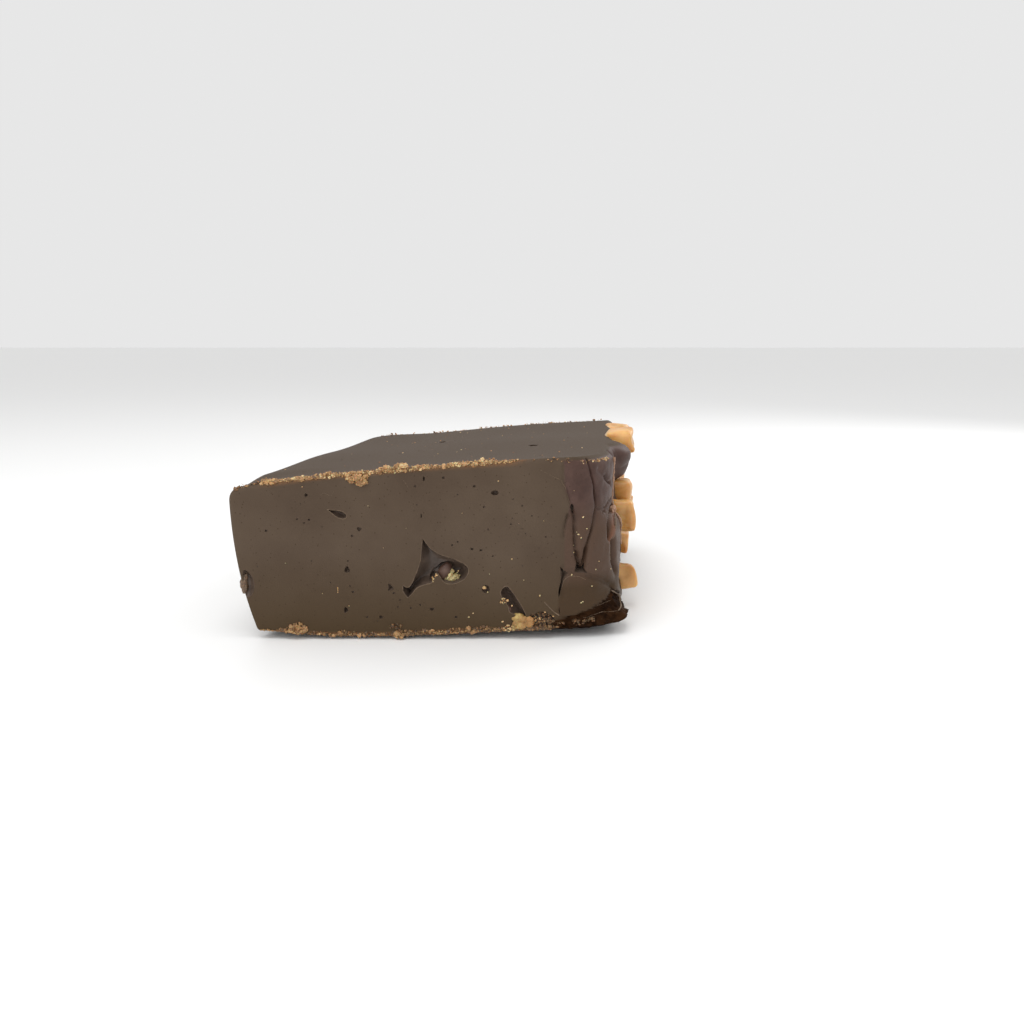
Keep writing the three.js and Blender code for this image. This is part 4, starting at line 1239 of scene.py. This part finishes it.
STRIP_EDGE = [(29.2, 21.6), (29.1, 20.3), (28.9, 18.1), (28.3, 16.6), (28.15, 13.6)]
RIM = [(9.4, 32.0), (9.6, 27.0), (9.6, 24.0), (9.9, 22.2), (10.6, 20.8), (11.6, 19.0), (11.9, 17.0),
       (11.6, 15.0)]
# The rim's middle lies in the surface down to the first height, and stands out below the second.
RIM_LOW, RIM_PROUD, RIM_RISES_OVER = 0.02, 0.27, (22.0, 20.5)

# %% Lips, hair lines, films and painted highlights


def on_relief(bare, proud):
    """A point of the bare poured side moved out to its finished surface."""
    facing = poured_facing(bare[1] + BACK, bare[2])
    return bare + facing * (float(poured_relief(bare[None, :])[0]) + proud)


def front_path(line, spacing, sunk):
    """A smooth path on the front cut."""
    return [front_spot(*p, sunk) for p in smooth_path(np.array(line), spacing)]


def seen_path(line):
    """A smooth path on the finished surface behind a line that is drawn from the front."""
    return [on_surface(*p, -0.01) for p in smooth_path(np.array(line), 0.12)]


def shoulder_path(line, proud):
    """A smooth path on the finished shoulder."""
    return [on_relief(p, proud) for p in path_on(on_shoulder, line, 0.2)]


def tubes(name, paths, radius, material, seed, closed=False):
    """Thin tubes of uneven thickness along paths, as one mesh piece."""
    draw = random.Random(seed)
    data = bpy.data.curves.new(name, "CURVE")
    data.dimensions = "3D"
    data.bevel_depth = radius * MM
    data.bevel_resolution = 1
    for path in paths:
        spline = data.splines.new("POLY")
        spline.points.add(len(path) - 1)
        spline.use_cyclic_u = closed
        for point, place in zip(spline.points, to_metres(path)):
            point.co = (*place, 1.0)
            point.radius = draw.uniform(0.5, 1.15)
    holder = new_object(name + "_line", data)
    mesh = bpy.data.meshes.new_from_object(holder.evaluated_get(bpy.context.evaluated_depsgraph_get()))
    bpy.data.objects.remove(holder)
    mesh.materials.clear()
    mesh.materials.append(material)
    mesh.shade_smooth()
    piece = new_object(name, mesh)
    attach(piece, "root")
    return piece


lip_paths = [
    [front_spot(x, z, 0.03) for x, z in smooth_outline(hollow)]
    for hollow in (CAVITY, ARCH, SLIT)
]
rim_path = [
    on_relief(p, mix(RIM_LOW, RIM_PROUD, ramp(p[2], *RIM_RISES_OVER)))
    for p in path_on(on_flank, RIM, 0.2)
]
# Tubes along the pocket rims: lips whose paler colour is a painted highlight.
lips = tubes("pocket_lips_and_highlights", lip_paths, 0.07, LIP_AND_HIGHLIGHT, 31, closed=True)
hairs = tubes("hair_lines", [front_path(line, 0.2, 0.02) for line in HAIR_LINES], 0.032, LIP_AND_HIGHLIGHT, 32)
tubes("scratch_ridge", [front_path(SCRATCH, 0.15, 0.04)], 0.13, LIP_AND_HIGHLIGHT, 33)
# The shoulder's rim: a raised line whose pale colour is a painted highlight along the right edge.
tubes("shoulder_rim_highlight", [rim_path], 0.26, FILM_AND_RIM_HIGHLIGHT, 34)
tubes("skin_edges", [shoulder_path(SKIN_END, -0.1), shoulder_path(STRIP_EDGE, 0.0)], 0.16, LIP_AND_HIGHLIGHT, 37)
tubes("torn_film", [seen_path(line) for line in TORN_FILM], 0.05, LIP_AND_HIGHLIGHT, 35)
# Painted highlights: pale tubes along the lobes' edges, where light catches them.
tubes("lobe_edge_highlights", [seen_path(line) for line in LOBE_EDGE_HIGHLIGHTS], 0.05, LIP_AND_HIGHLIGHT, 36)
print("lip faces:", len(lips.data.polygons), "hair line faces:", len(hairs.data.polygons))

# %% Ledges in the pockets, x, height, how deep, size, turn; and the knob on the shoulder's rim, depth, height
LEDGES = [((-2.1, 12.35, 1.7), (2.3, 2.4, 3.5), 32), ((9.25, 5.4, 1.0), (1.5, 1.7, 1.6), 0)]
KNOB_AT, KNOB_SIZE, KNOB_PROUD = (9.4, 22.3), (1.3, 1.2, 1.25), 0.15
ledge_mesh, knob_mesh = bmesh.new(), bmesh.new()
for number, ((x, z, deep), size, turn) in enumerate(LEDGES):
    spin = Matrix.Rotation(math.radians(turn), 3, "Y")
    add_bubble(ledge_mesh, front_spot(x, z, deep), size, 4, number + 7, 0.1, spin)
add_bubble(knob_mesh, on_relief(on_flank(*KNOB_AT), KNOB_PROUD), KNOB_SIZE, 4, 4, 0.45)
for name, bm, material in (("pocket_ledge", ledge_mesh, LEDGE), ("film_knob", knob_mesh, FILM_AND_RIM_HIGHLIGHT)):
    piece = object_from(name, in_metres(bm), [material])
    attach(piece, "root")

# %% [markdown]
# ## Caramel pieces
# Chopped caramel was strewn on the loaf while it was warm. Each piece is a small block with uneven
# corners and edges that have melted round. A cube with shifted corners gets its edges bevelled, and a
# subdivision surface melts it a little more. The material lets light in below its surface.

# %% Caramel material


def caramel_material():
    material, tree, shader, place = start_material("caramel_soft")
    spots = mottled(tree, place, 260.0, 2200.0)
    colour = blend(tree, between(tree, spots.outputs["Patches"], 0.3, 0.7),
                   seen(186, 132, 70), seen(218, 172, 106))
    tree.links.new(colour, shader.inputs["Base Color"])
    set_values(shader, Roughness=0.34, Subsurface_Weight=0.6, Subsurface_Radius=(1.0, 0.5, 0.2),
               Subsurface_Scale=0.002)
    bump(tree, shader, spots.outputs["Patches"], 0.0002, 0.6)
    return material


CARAMEL = caramel_material()

# %% Caramel pieces: shares of a piece's size
CUBE, CORNER_SPREAD, EDGE_MELT, WARP = 0.94, (0.78, 1.06), 0.16, 0.1


def caramel_mesh(index, depth, z, size, out, turn, lean):
    """A melted block that stands `out` from the bare flank and is turned to face the way it does."""
    draw = random.Random(200 + index)
    bm = bmesh.new()
    bmesh.ops.create_cube(bm, size=CUBE)
    for vert in bm.verts:
        vert.co = Vector(c * draw.uniform(*CORNER_SPREAD) for c in vert.co)
        vert.co.x += lean * vert.co.z
    bmesh.ops.bevel(bm, geom=list(bm.edges), offset=EDGE_MELT, affect="EDGES", segments=2, profile=0.5,
                    material=-1)
    bmesh.ops.subdivide_edges(bm, edges=list(bm.edges), cuts=2, use_grid_fill=True)
    for vert in bm.verts:
        vert.co += WARP * noise.noise_vector(vert.co * 2.6 + Vector((index, 0.0, 0.0)))
    facing = poured_facing(np.float64(depth), np.float64(z))
    middle = on_flank(depth, z) + facing * out
    along, up, thick = size
    face_out = Matrix.Rotation(math.atan2(facing[1], facing[0]), 4, "Z")
    turns = face_out @ Matrix.Rotation(math.radians(turn), 4, "X")
    grown = turns @ Matrix.Diagonal((thick, along, up, 1.0))
    for vert in bm.verts:
        vert.co = np.clip(to_metres(np.array(grown @ vert.co) + middle), *cad_box)
    return bm


for index, values in enumerate(CARAMELS):
    node = f"caramel_{index + 1:02d}"
    piece = object_from(f"{node}_soft", caramel_mesh(index, *values), [CARAMEL])
    smooth = piece.modifiers.new("melted", "SUBSURF")
    smooth.levels = smooth.render_levels = 1
    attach(piece, "root")
    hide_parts(node)
print("caramel pieces:", len(CARAMELS))

# %% [markdown]
# ## Biscuit and nut pieces
# A pale biscuit lump is pressed into the foot of the cut face, a crumbly bit sits in the large air
# pocket and a nut piece in the left end. Biscuit breaks into rounded knobs: each piece starts as a
# ball whose points are pushed out to a few overlapping knobs, and a cell pattern makes it crumbly.

# %% Biscuit and nut materials


def crumbly_material(name, dark, light, baked, patch_scale, roughness):
    """A crumbly surface whose colour changes from knob to knob, browner where it was baked more."""
    material, tree, shader, place = start_material(name)
    spots = mottled(tree, place, patch_scale, 3000.0)
    across = add(tree, "ShaderNodeSeparateXYZ")
    tree.links.new(place, across.inputs[0])
    pale = blend(tree, between(tree, spots.outputs["Patches"], 0.36, 0.62), dark, light)
    colour = blend(tree, between(tree, across.outputs["X"], BAKED_FROM, BAKED_TO), pale, baked)
    colour = blend(tree, between(tree, spots.outputs["Grain"], 0.46, 0.34), colour, dark)
    tree.links.new(colour, shader.inputs["Base Color"])
    set_values(shader, Roughness=roughness, Subsurface_Weight=0.2, Subsurface_Scale=0.001)
    bump(tree, shader, spots.outputs["Grain"], 0.00012, 0.8)
    return material


BAKED_FROM, BAKED_TO = 0.0113, 0.0138
BISCUIT = crumbly_material("biscuit_pale", seen(142, 106, 60), seen(186, 160, 96), seen(166, 120, 70),
                           420.0, 0.6)
BIT = crumbly_material("biscuit_bit_pale", seen(150, 130, 84), seen(204, 190, 138), seen(150, 130, 84),
                       700.0, 0.6)
NUT = crumbly_material("nut_brown", seen(66, 48, 36), seen(112, 90, 68), seen(112, 90, 68), 700.0, 0.5)

# %% Biscuit and nut pieces
LUMP_KNOBS = [((-0.25, -0.1, 0.45), 0.52), ((-0.58, -0.1, -0.3), 0.42), ((0.5, -0.1, -0.35), 0.48),
              ((0.1, 0.0, 0.0), 0.55), ((0.6, -0.3, 0.12), 0.34), ((-0.1, -0.5, -0.3), 0.4),
              ((0.1, -0.45, 0.3), 0.34), ((-0.45, -0.5, 0.1), 0.3)]
BIT_KNOBS = [((-0.55, -0.2, 0.1), 0.38), ((0.0, -0.3, 0.5), 0.36), ((0.55, -0.2, -0.05), 0.38),
             ((0.15, -0.4, -0.4), 0.42), ((-0.35, -0.2, -0.5), 0.34), ((0.0, 0.0, 0.0), 0.4),
             ((0.05, -0.6, 0.05), 0.3)]
NUT_KNOBS = [((0.0, 0.0, 0.45), 0.55), ((0.1, 0.0, -0.4), 0.58), ((-0.15, -0.1, 0.0), 0.6)]


def reach_of_knobs(direction, knobs):
    """How far out the outermost knob reaches in a direction from the middle."""
    best = 0.1
    for centre, radius in knobs:
        centre = Vector(centre)
        along = direction.dot(centre)
        inside = along * along - centre.length_squared + radius * radius
        if inside > 0.0:
            best = max(best, along + math.sqrt(inside))
    return best


def knobbly_piece(name, node, material, middle, size, turn, knobs, crumbly, cell, seed):
    bm = bmesh.new()
    bmesh.ops.create_icosphere(bm, subdivisions=5, radius=1.0)
    shift = Vector((seed * 3.3, seed * 1.1, 0.0))
    spin = Matrix.Rotation(math.radians(turn), 4, "Y") @ Matrix.Diagonal((*(0.5 * s for s in size), 1.0))
    for vert in bm.verts:
        out = reach_of_knobs(vert.co.normalized(), knobs)
        grain = noise.voronoi(vert.co * out / cell + shift)[0][0]
        place = spin @ (vert.co * out * (1.0 + crumbly * (0.4 - min(grain, 0.9))))
        vert.co = to_metres(np.array(place) + np.array(middle))
    bmesh.ops.smooth_vert(
        bm, verts=bm.verts, factor=0.4, use_axis_x=True, use_axis_y=True, use_axis_z=True)
    piece = object_from(name, bm, [material])
    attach(piece, "root")
    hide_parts(node)


LUMP_AT, BIT_AT, NUT_AT = (11.8, -35.3, 3.2), (-1.2, -34.2, 11.7), (-38.1, -35.1, 10.3)
knobbly_piece("biscuit_lump_pale", "biscuit_lump", BISCUIT, LUMP_AT, (4.8, 3.4, 3.6), -12,
              LUMP_KNOBS, 0.22, 0.3, 1)
knobbly_piece("biscuit_bit_pale", "biscuit_bit", BIT, BIT_AT, (4.2, 2.7, 2.9), 10,
              BIT_KNOBS, 0.45, 0.22, 2)
knobbly_piece("nut_brown_bit", "nut", NUT, NUT_AT, (2.1, 2.4, 4.2), 6, NUT_KNOBS, 0.3, 0.35, 3)

# %% [markdown]
# ## Crumbs along the edges
# The knife dragged sugar and biscuit crumbs along and left them on the edges of the cut, in a band that
# is thin at the left and thick towards the middle, with a few clumps. Each crumb is a small dented
# ball with few faces. The crumbs of the front cut, the loose specks and the rest are joined in one mesh
# each, and every crumb carries its own tone, from brown to pale gold, in an attribute that the material
# reads.

# %% Crumb material


def crumb_material():
    material, tree, shader, place = start_material("crumb_gold")
    tones = add(tree, "ShaderNodeValToRGB")
    stops = tones.color_ramp.elements
    stops.remove(stops[1])
    stops[0].color = seen(64, 49, 34)
    for position, colour in ((0.35, (132, 97, 60)), (0.7, (180, 139, 92)), (1.0, (222, 200, 150))):
        stops.new(position).color = seen(*colour)
    tree.links.new(attribute(tree, "tone"), tones.inputs["Fac"])
    tree.links.new(tones.outputs["Color"], shader.inputs["Base Color"])
    set_values(shader, Roughness=0.5, Subsurface_Weight=0.2, Subsurface_Scale=0.0005)
    bump(tree, shader, mottled(tree, place, 2500.0, 6000.0).outputs["Grain"], 0.00004, 0.6)
    return material


CRUMB = crumb_material()

# %% Crumbs: each is a place, a size and a tone
HEAP = 0.55
# Crumbs lie sparse and dense in turn along an edge, in stretches of about this length.
STRETCH, SPARSE, DENSER = 1.9, 0.55, 0.75
TONE_WAVE = (0.22, 0.8)
# The four long edges of the cut: whether each is at the front, and whether it is at the top.
FRONT_TOP, FRONT_FOOT, BACK_TOP, BACK_FOOT = (True, True), (True, False), (False, True), (False, False)


def edge_places(along, over, edge):
    """Points over one of the long cut edges: `over` below 0 is on the top or underside."""
    front, top = edge
    y, z = np.maximum(0.0, -over), np.maximum(0.0, over)
    return slab_points(np.stack([along, y if front else DEPTH - y, RISE - z if top else z], axis=-1))


def band(draw, edge, start, end, count, sizes, reach, tones):
    """Crumbs strewn unevenly along an edge, within reach[0] above and reach[1] below it."""
    front, top = edge
    drawn = []
    while len(drawn) < count:
        along = draw.uniform(start, end)
        thick = float(unevenness(along, 0.0, 0.0, STRETCH))
        if draw.random() > SPARSE + DENSER * thick:
            continue
        over = draw.triangular(-reach[0], reach[1] * (0.85 + 0.5 * thick), 0.1)
        size = mix(*sizes, draw.random() ** 3)
        out = (-0.1 if front else 0.1) * draw.random()
        up = HEAP * max(0.0, 0.3 + thick) * draw.random() ** 2 if top else 0.0
        tone = draw.uniform(*tones) + float(wave(along, 0.0, 3.0, TONE_WAVE))
        drawn.append((along, over, out, up, size, tone))
    along, over, out, up, _, _ = np.array(drawn).T
    places = edge_places(along, over, edge) + np.stack([0.0 * out, out, up], axis=-1)
    return [(place, size, tone) for place, (*_, size, tone) in zip(places, drawn)]


def clump(draw, x, z, wide, high, count, sizes, tones, proud=0.5, deep=None, gaps=1.0):
    """Crumbs heaped around a point: on the slab's own surface, or `deep` behind the front cut."""
    made = []
    for _ in range(count):
        reach = draw.random() ** 0.6
        angle = draw.uniform(0.0, math.tau)
        at = (x + wide * reach * math.cos(angle), z + high * reach * math.sin(angle))
        if unevenness(at[0], 0.0, at[1], 0.27) > gaps:
            continue
        place = on_surface(*at) if deep is None else front_spot(*at, deep)
        place[1] -= proud * (1.0 - reach * reach) * draw.random()
        made.append((place, mix(*sizes, draw.random() ** 2), draw.uniform(*tones)))
    return made


def ball(subdivisions):
    """The points and the faces of a small ball, as a pattern for crumbs."""
    bm = bmesh.new()
    bmesh.ops.create_icosphere(bm, subdivisions=subdivisions, radius=0.5)
    bm.verts.index_update()
    pattern = [v.co.copy() for v in bm.verts], [[v.index for v in f.verts] for f in bm.faces]
    bm.free()
    return pattern


BALLS = {1: ball(1), 2: ball(2)}
FINER_ABOVE = 0.75
# How far each crumb is stretched in its own three directions, and how uneven its points are.
STRETCHES = ((0.7, 1.3), (0.7, 1.1), (0.5, 1.0))
UNEVEN, TONE_SPREAD = (0.66, 1.25), 0.14
LOWEST = 0.02


def crumb_piece(name, crumbs, seed):
    """All crumbs of one piece as a single mesh, with a tone on each vertex."""
    draw = random.Random(seed)
    places, faces, tones = [], [], []
    for spot, size, tone in crumbs:
        points, corners = BALLS[2 if size > FINER_ABOVE else 1]
        tilt = Matrix.Rotation(draw.uniform(0, math.tau), 4, "X")
        turn = tilt @ Matrix.Rotation(draw.uniform(0, math.tau), 4, "Z")
        squash = Matrix.Diagonal((*(draw.uniform(*stretch) for stretch in STRETCHES), 1.0))
        faces += [[len(places) + i for i in corner] for corner in corners]
        for point in points:
            local = squash @ (point * size * draw.uniform(*UNEVEN))
            places.append(Vector(turn @ local) + Vector(spot))
            tones.append(min(1.0, max(0.0, tone + draw.uniform(-TONE_SPREAD, TONE_SPREAD))))
    places = np.array(places)
    places[:, 2] = np.maximum(places[:, 2], LOWEST)
    mesh = bpy.data.meshes.new(name)
    mesh.from_pydata(np.clip(to_metres(places), *cad_box).tolist(), [], faces)
    mesh.materials.append(CRUMB)
    store_mask(mesh, "tone", tones)
    piece = new_object(name, mesh)
    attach(piece, "root")
    print(name, len(crumbs), "crumbs,", len(piece.data.polygons), "faces")


# %% Crumbs of the front cut
draw = random.Random(5)
SMALL, USUAL, LARGE = (0.13, 0.42), (0.15, 0.62), (0.22, 0.95)
BROWN, MIXED, PALE = (0.0, 0.6), (0.15, 0.9), (0.6, 1.0)
# Along an edge: the edge, start, end, how many, sizes, reach above and below it, tones.
BANDS = [
    (FRONT_TOP, 1, 9, 90, USUAL, (2.0, 0.3), BROWN),
    (FRONT_TOP, 7, 22, 420, LARGE, (0.6, 0.5), (0.2, 0.8)),
    (FRONT_TOP, 22, 58, 1500, USUAL, (0.9, 0.7), MIXED),
    (FRONT_TOP, 22, 50, 240, USUAL, (2.4, 0.2), MIXED),
    (FRONT_TOP, 30, 52, 160, LARGE, (0.5, 0.5), (0.4, 0.9)),
    (FRONT_TOP, 58, 69.6, 40, SMALL, (0.5, 0.4), BROWN),
    (FRONT_FOOT, 4.5, 62, 1300, USUAL, (0.3, 1.1), (0.0, 0.5)),
    (FRONT_FOOT, 4.5, 62, 150, LARGE, (0.1, 1.0), (0.1, 0.6)),
    (FRONT_FOOT, 0.6, 5, 70, SMALL, (0.1, 0.5), (0.2, 0.7)),
]
# Clumps: x, height, half width, half height, how many, sizes, tones, how proud, how deep, gaps.
CLUMPS = [
    (-17.1, 29.7, 2.0, 1.0, 170, LARGE, (0.4, 0.85), 0.9),
    (-16.4, 28.9, 1.0, 0.6, 60, LARGE, (0.35, 0.8), 0.8),
    (-12.0, 31.3, 1.0, 0.4, 40, LARGE, (0.4, 0.85), 0.6),
    (-9.3, 31.8, 0.9, 0.4, 36, LARGE, (0.4, 0.85), 0.6),
    (-28.7, 2.0, 1.9, 0.9, 120, LARGE, (0.25, 0.75), 0.7),
    (-20.9, 1.2, 0.4, 0.7, 26, USUAL, (0.3, 0.7), 0.5),
    (-10.4, 0.8, 0.95, 0.8, 90, LARGE, (0.2, 0.7), 0.8),
    (-11.1, 2.5, 1.3, 0.5, 40, USUAL, (0.0, 0.3), 0.4),
    (-2.1, 1.3, 2.6, 0.4, 90, USUAL, MIXED, 0.4),
    (9.6, 2.0, 1.3, 0.7, 40, USUAL, PALE, 0.4),
    (15.4, 3.7, 2.4, 1.5, 520, SMALL, (0.0, 0.35), 0.25, 0.3, 0.15),
    (15.4, 3.9, 2.2, 1.3, 36, SMALL, (0.4, 0.8), 0.1, 0.05),
    (15.6, 2.2, 2.9, 0.45, 150, USUAL, (0.0, 0.4), 0.3),
    (18.9, 2.9, 1.2, 0.3, 50, SMALL, (0.0, 0.4), 0.1, None, 0.3),
    (21.9, 3.0, 1.3, 0.6, 150, SMALL, (0.0, 0.35), 0.1, None, 0.1),
    (24.2, 3.3, 1.2, 0.5, 100, SMALL, (0.0, 0.35), 0.1, None, 0.1),
    (8.5, 7.1, 0.75, 0.65, 26, USUAL, (0.5, 0.95), 0.3, 0.15),
    (-0.75, 11.8, 1.5, 1.1, 14, SMALL, (0.8, 1.0), 0.4, 1.0),
    (-3.5, 12.0, 0.3, 0.35, 10, SMALL, PALE, 0.1, 0.1),
    (-4.15, 11.2, 0.2, 0.45, 10, SMALL, PALE, 0.1, 0.1),
]
front_crumbs = [crumb for row in BANDS for crumb in band(draw, *row)]
front_crumbs += [crumb for row in CLUMPS for crumb in clump(draw, *row)]
front_crumbs += [(front_spot(5.0, 9.7, 0.15), 0.9, 0.75), (front_spot(5.65, 8.85, 0.05), 0.3, 1.0)]
crumb_piece("crumbs_front", front_crumbs, 21)

# %% Loose specks, and the crumbs of the other faces
FACE_SPECKS = [
    (7.6, 29.0, 0.3), (15.6, 21.9, 0.22), (10.0, 15.0, 0.26), (12.1, 11.1, 0.2), (15.0, 8.2, 0.42),
    (2.2, 4.2, 0.36), (3.0, 4.9, 0.3), (8.3, 3.3, 0.42), (-19.3, 6.3, 0.3), (-27.2, 29.4, 0.32),
    (-26.7, 28.0, 0.26), (9.98, 6.34, 0.4), (11.2, 21.4, 0.14), (-15.3, 24.6, 0.16), (-12.8, 17.0, 0.14),
    (1.2, 23.3, 0.15), (-30.4, 14.2, 0.15), (6.0, 12.2, 0.16), (-8.7, 20.6, 0.14), (-24.0, 8.6, 0.16),
]
POURED_SPECKS = [
    (22.6, 22.4, 0.36), (23.3, 20.3, 0.3), (21.8, 19.3, 0.36), (22.3, 18.7, 0.3), (21.5, 19.7, 0.24),
    (21.0, 17.2, 0.24), (21.0, 16.0, 0.4), (20.7, 11.9, 0.34), (25.7, 14.0, 0.3), (28.1, 12.0, 0.26),
    (24.4, 9.6, 0.42), (22.5, 6.75, 0.42), (22.75, 6.95, 0.36), (25.1, 12.6, 0.24), (20.9, 27.2, 0.14),
]
speck_crumbs = [(front_spot(x, z), size, 0.85) for x, z, size in FACE_SPECKS]
speck_crumbs += [(on_surface(x, z), size, 0.9) for x, z, size in POURED_SPECKS]
for i in range(6):
    speck_crumbs.append((front_spot(-21.2, 8.8 + 0.17 * i), 0.24, 0.75))
crumb_piece("crumb_specks", speck_crumbs, 23)
back_crumbs = [
    *band(draw, BACK_TOP, 4, 68, 420, USUAL, (0.8, 0.6), MIXED),
    *band(draw, BACK_FOOT, 4, 68, 300, USUAL, (0.3, 0.7), BROWN),
]
for _ in range(60):
    place = slab_points([(LENGTH, draw.uniform(0.8, 6.5), RISE - draw.uniform(0.0, 1.0))])[0]
    back_crumbs.append((place, mix(*SMALL, draw.random()), draw.uniform(0.3, 0.9)))
for _ in range(70):
    place = slab_points([(draw.uniform(2, 66), draw.uniform(1.5, 70), RISE)])[0]
    back_crumbs.append((place, mix(*SMALL, draw.random()), draw.uniform(0.2, 0.95)))
crumb_piece("crumbs_back_and_top", back_crumbs, 22)
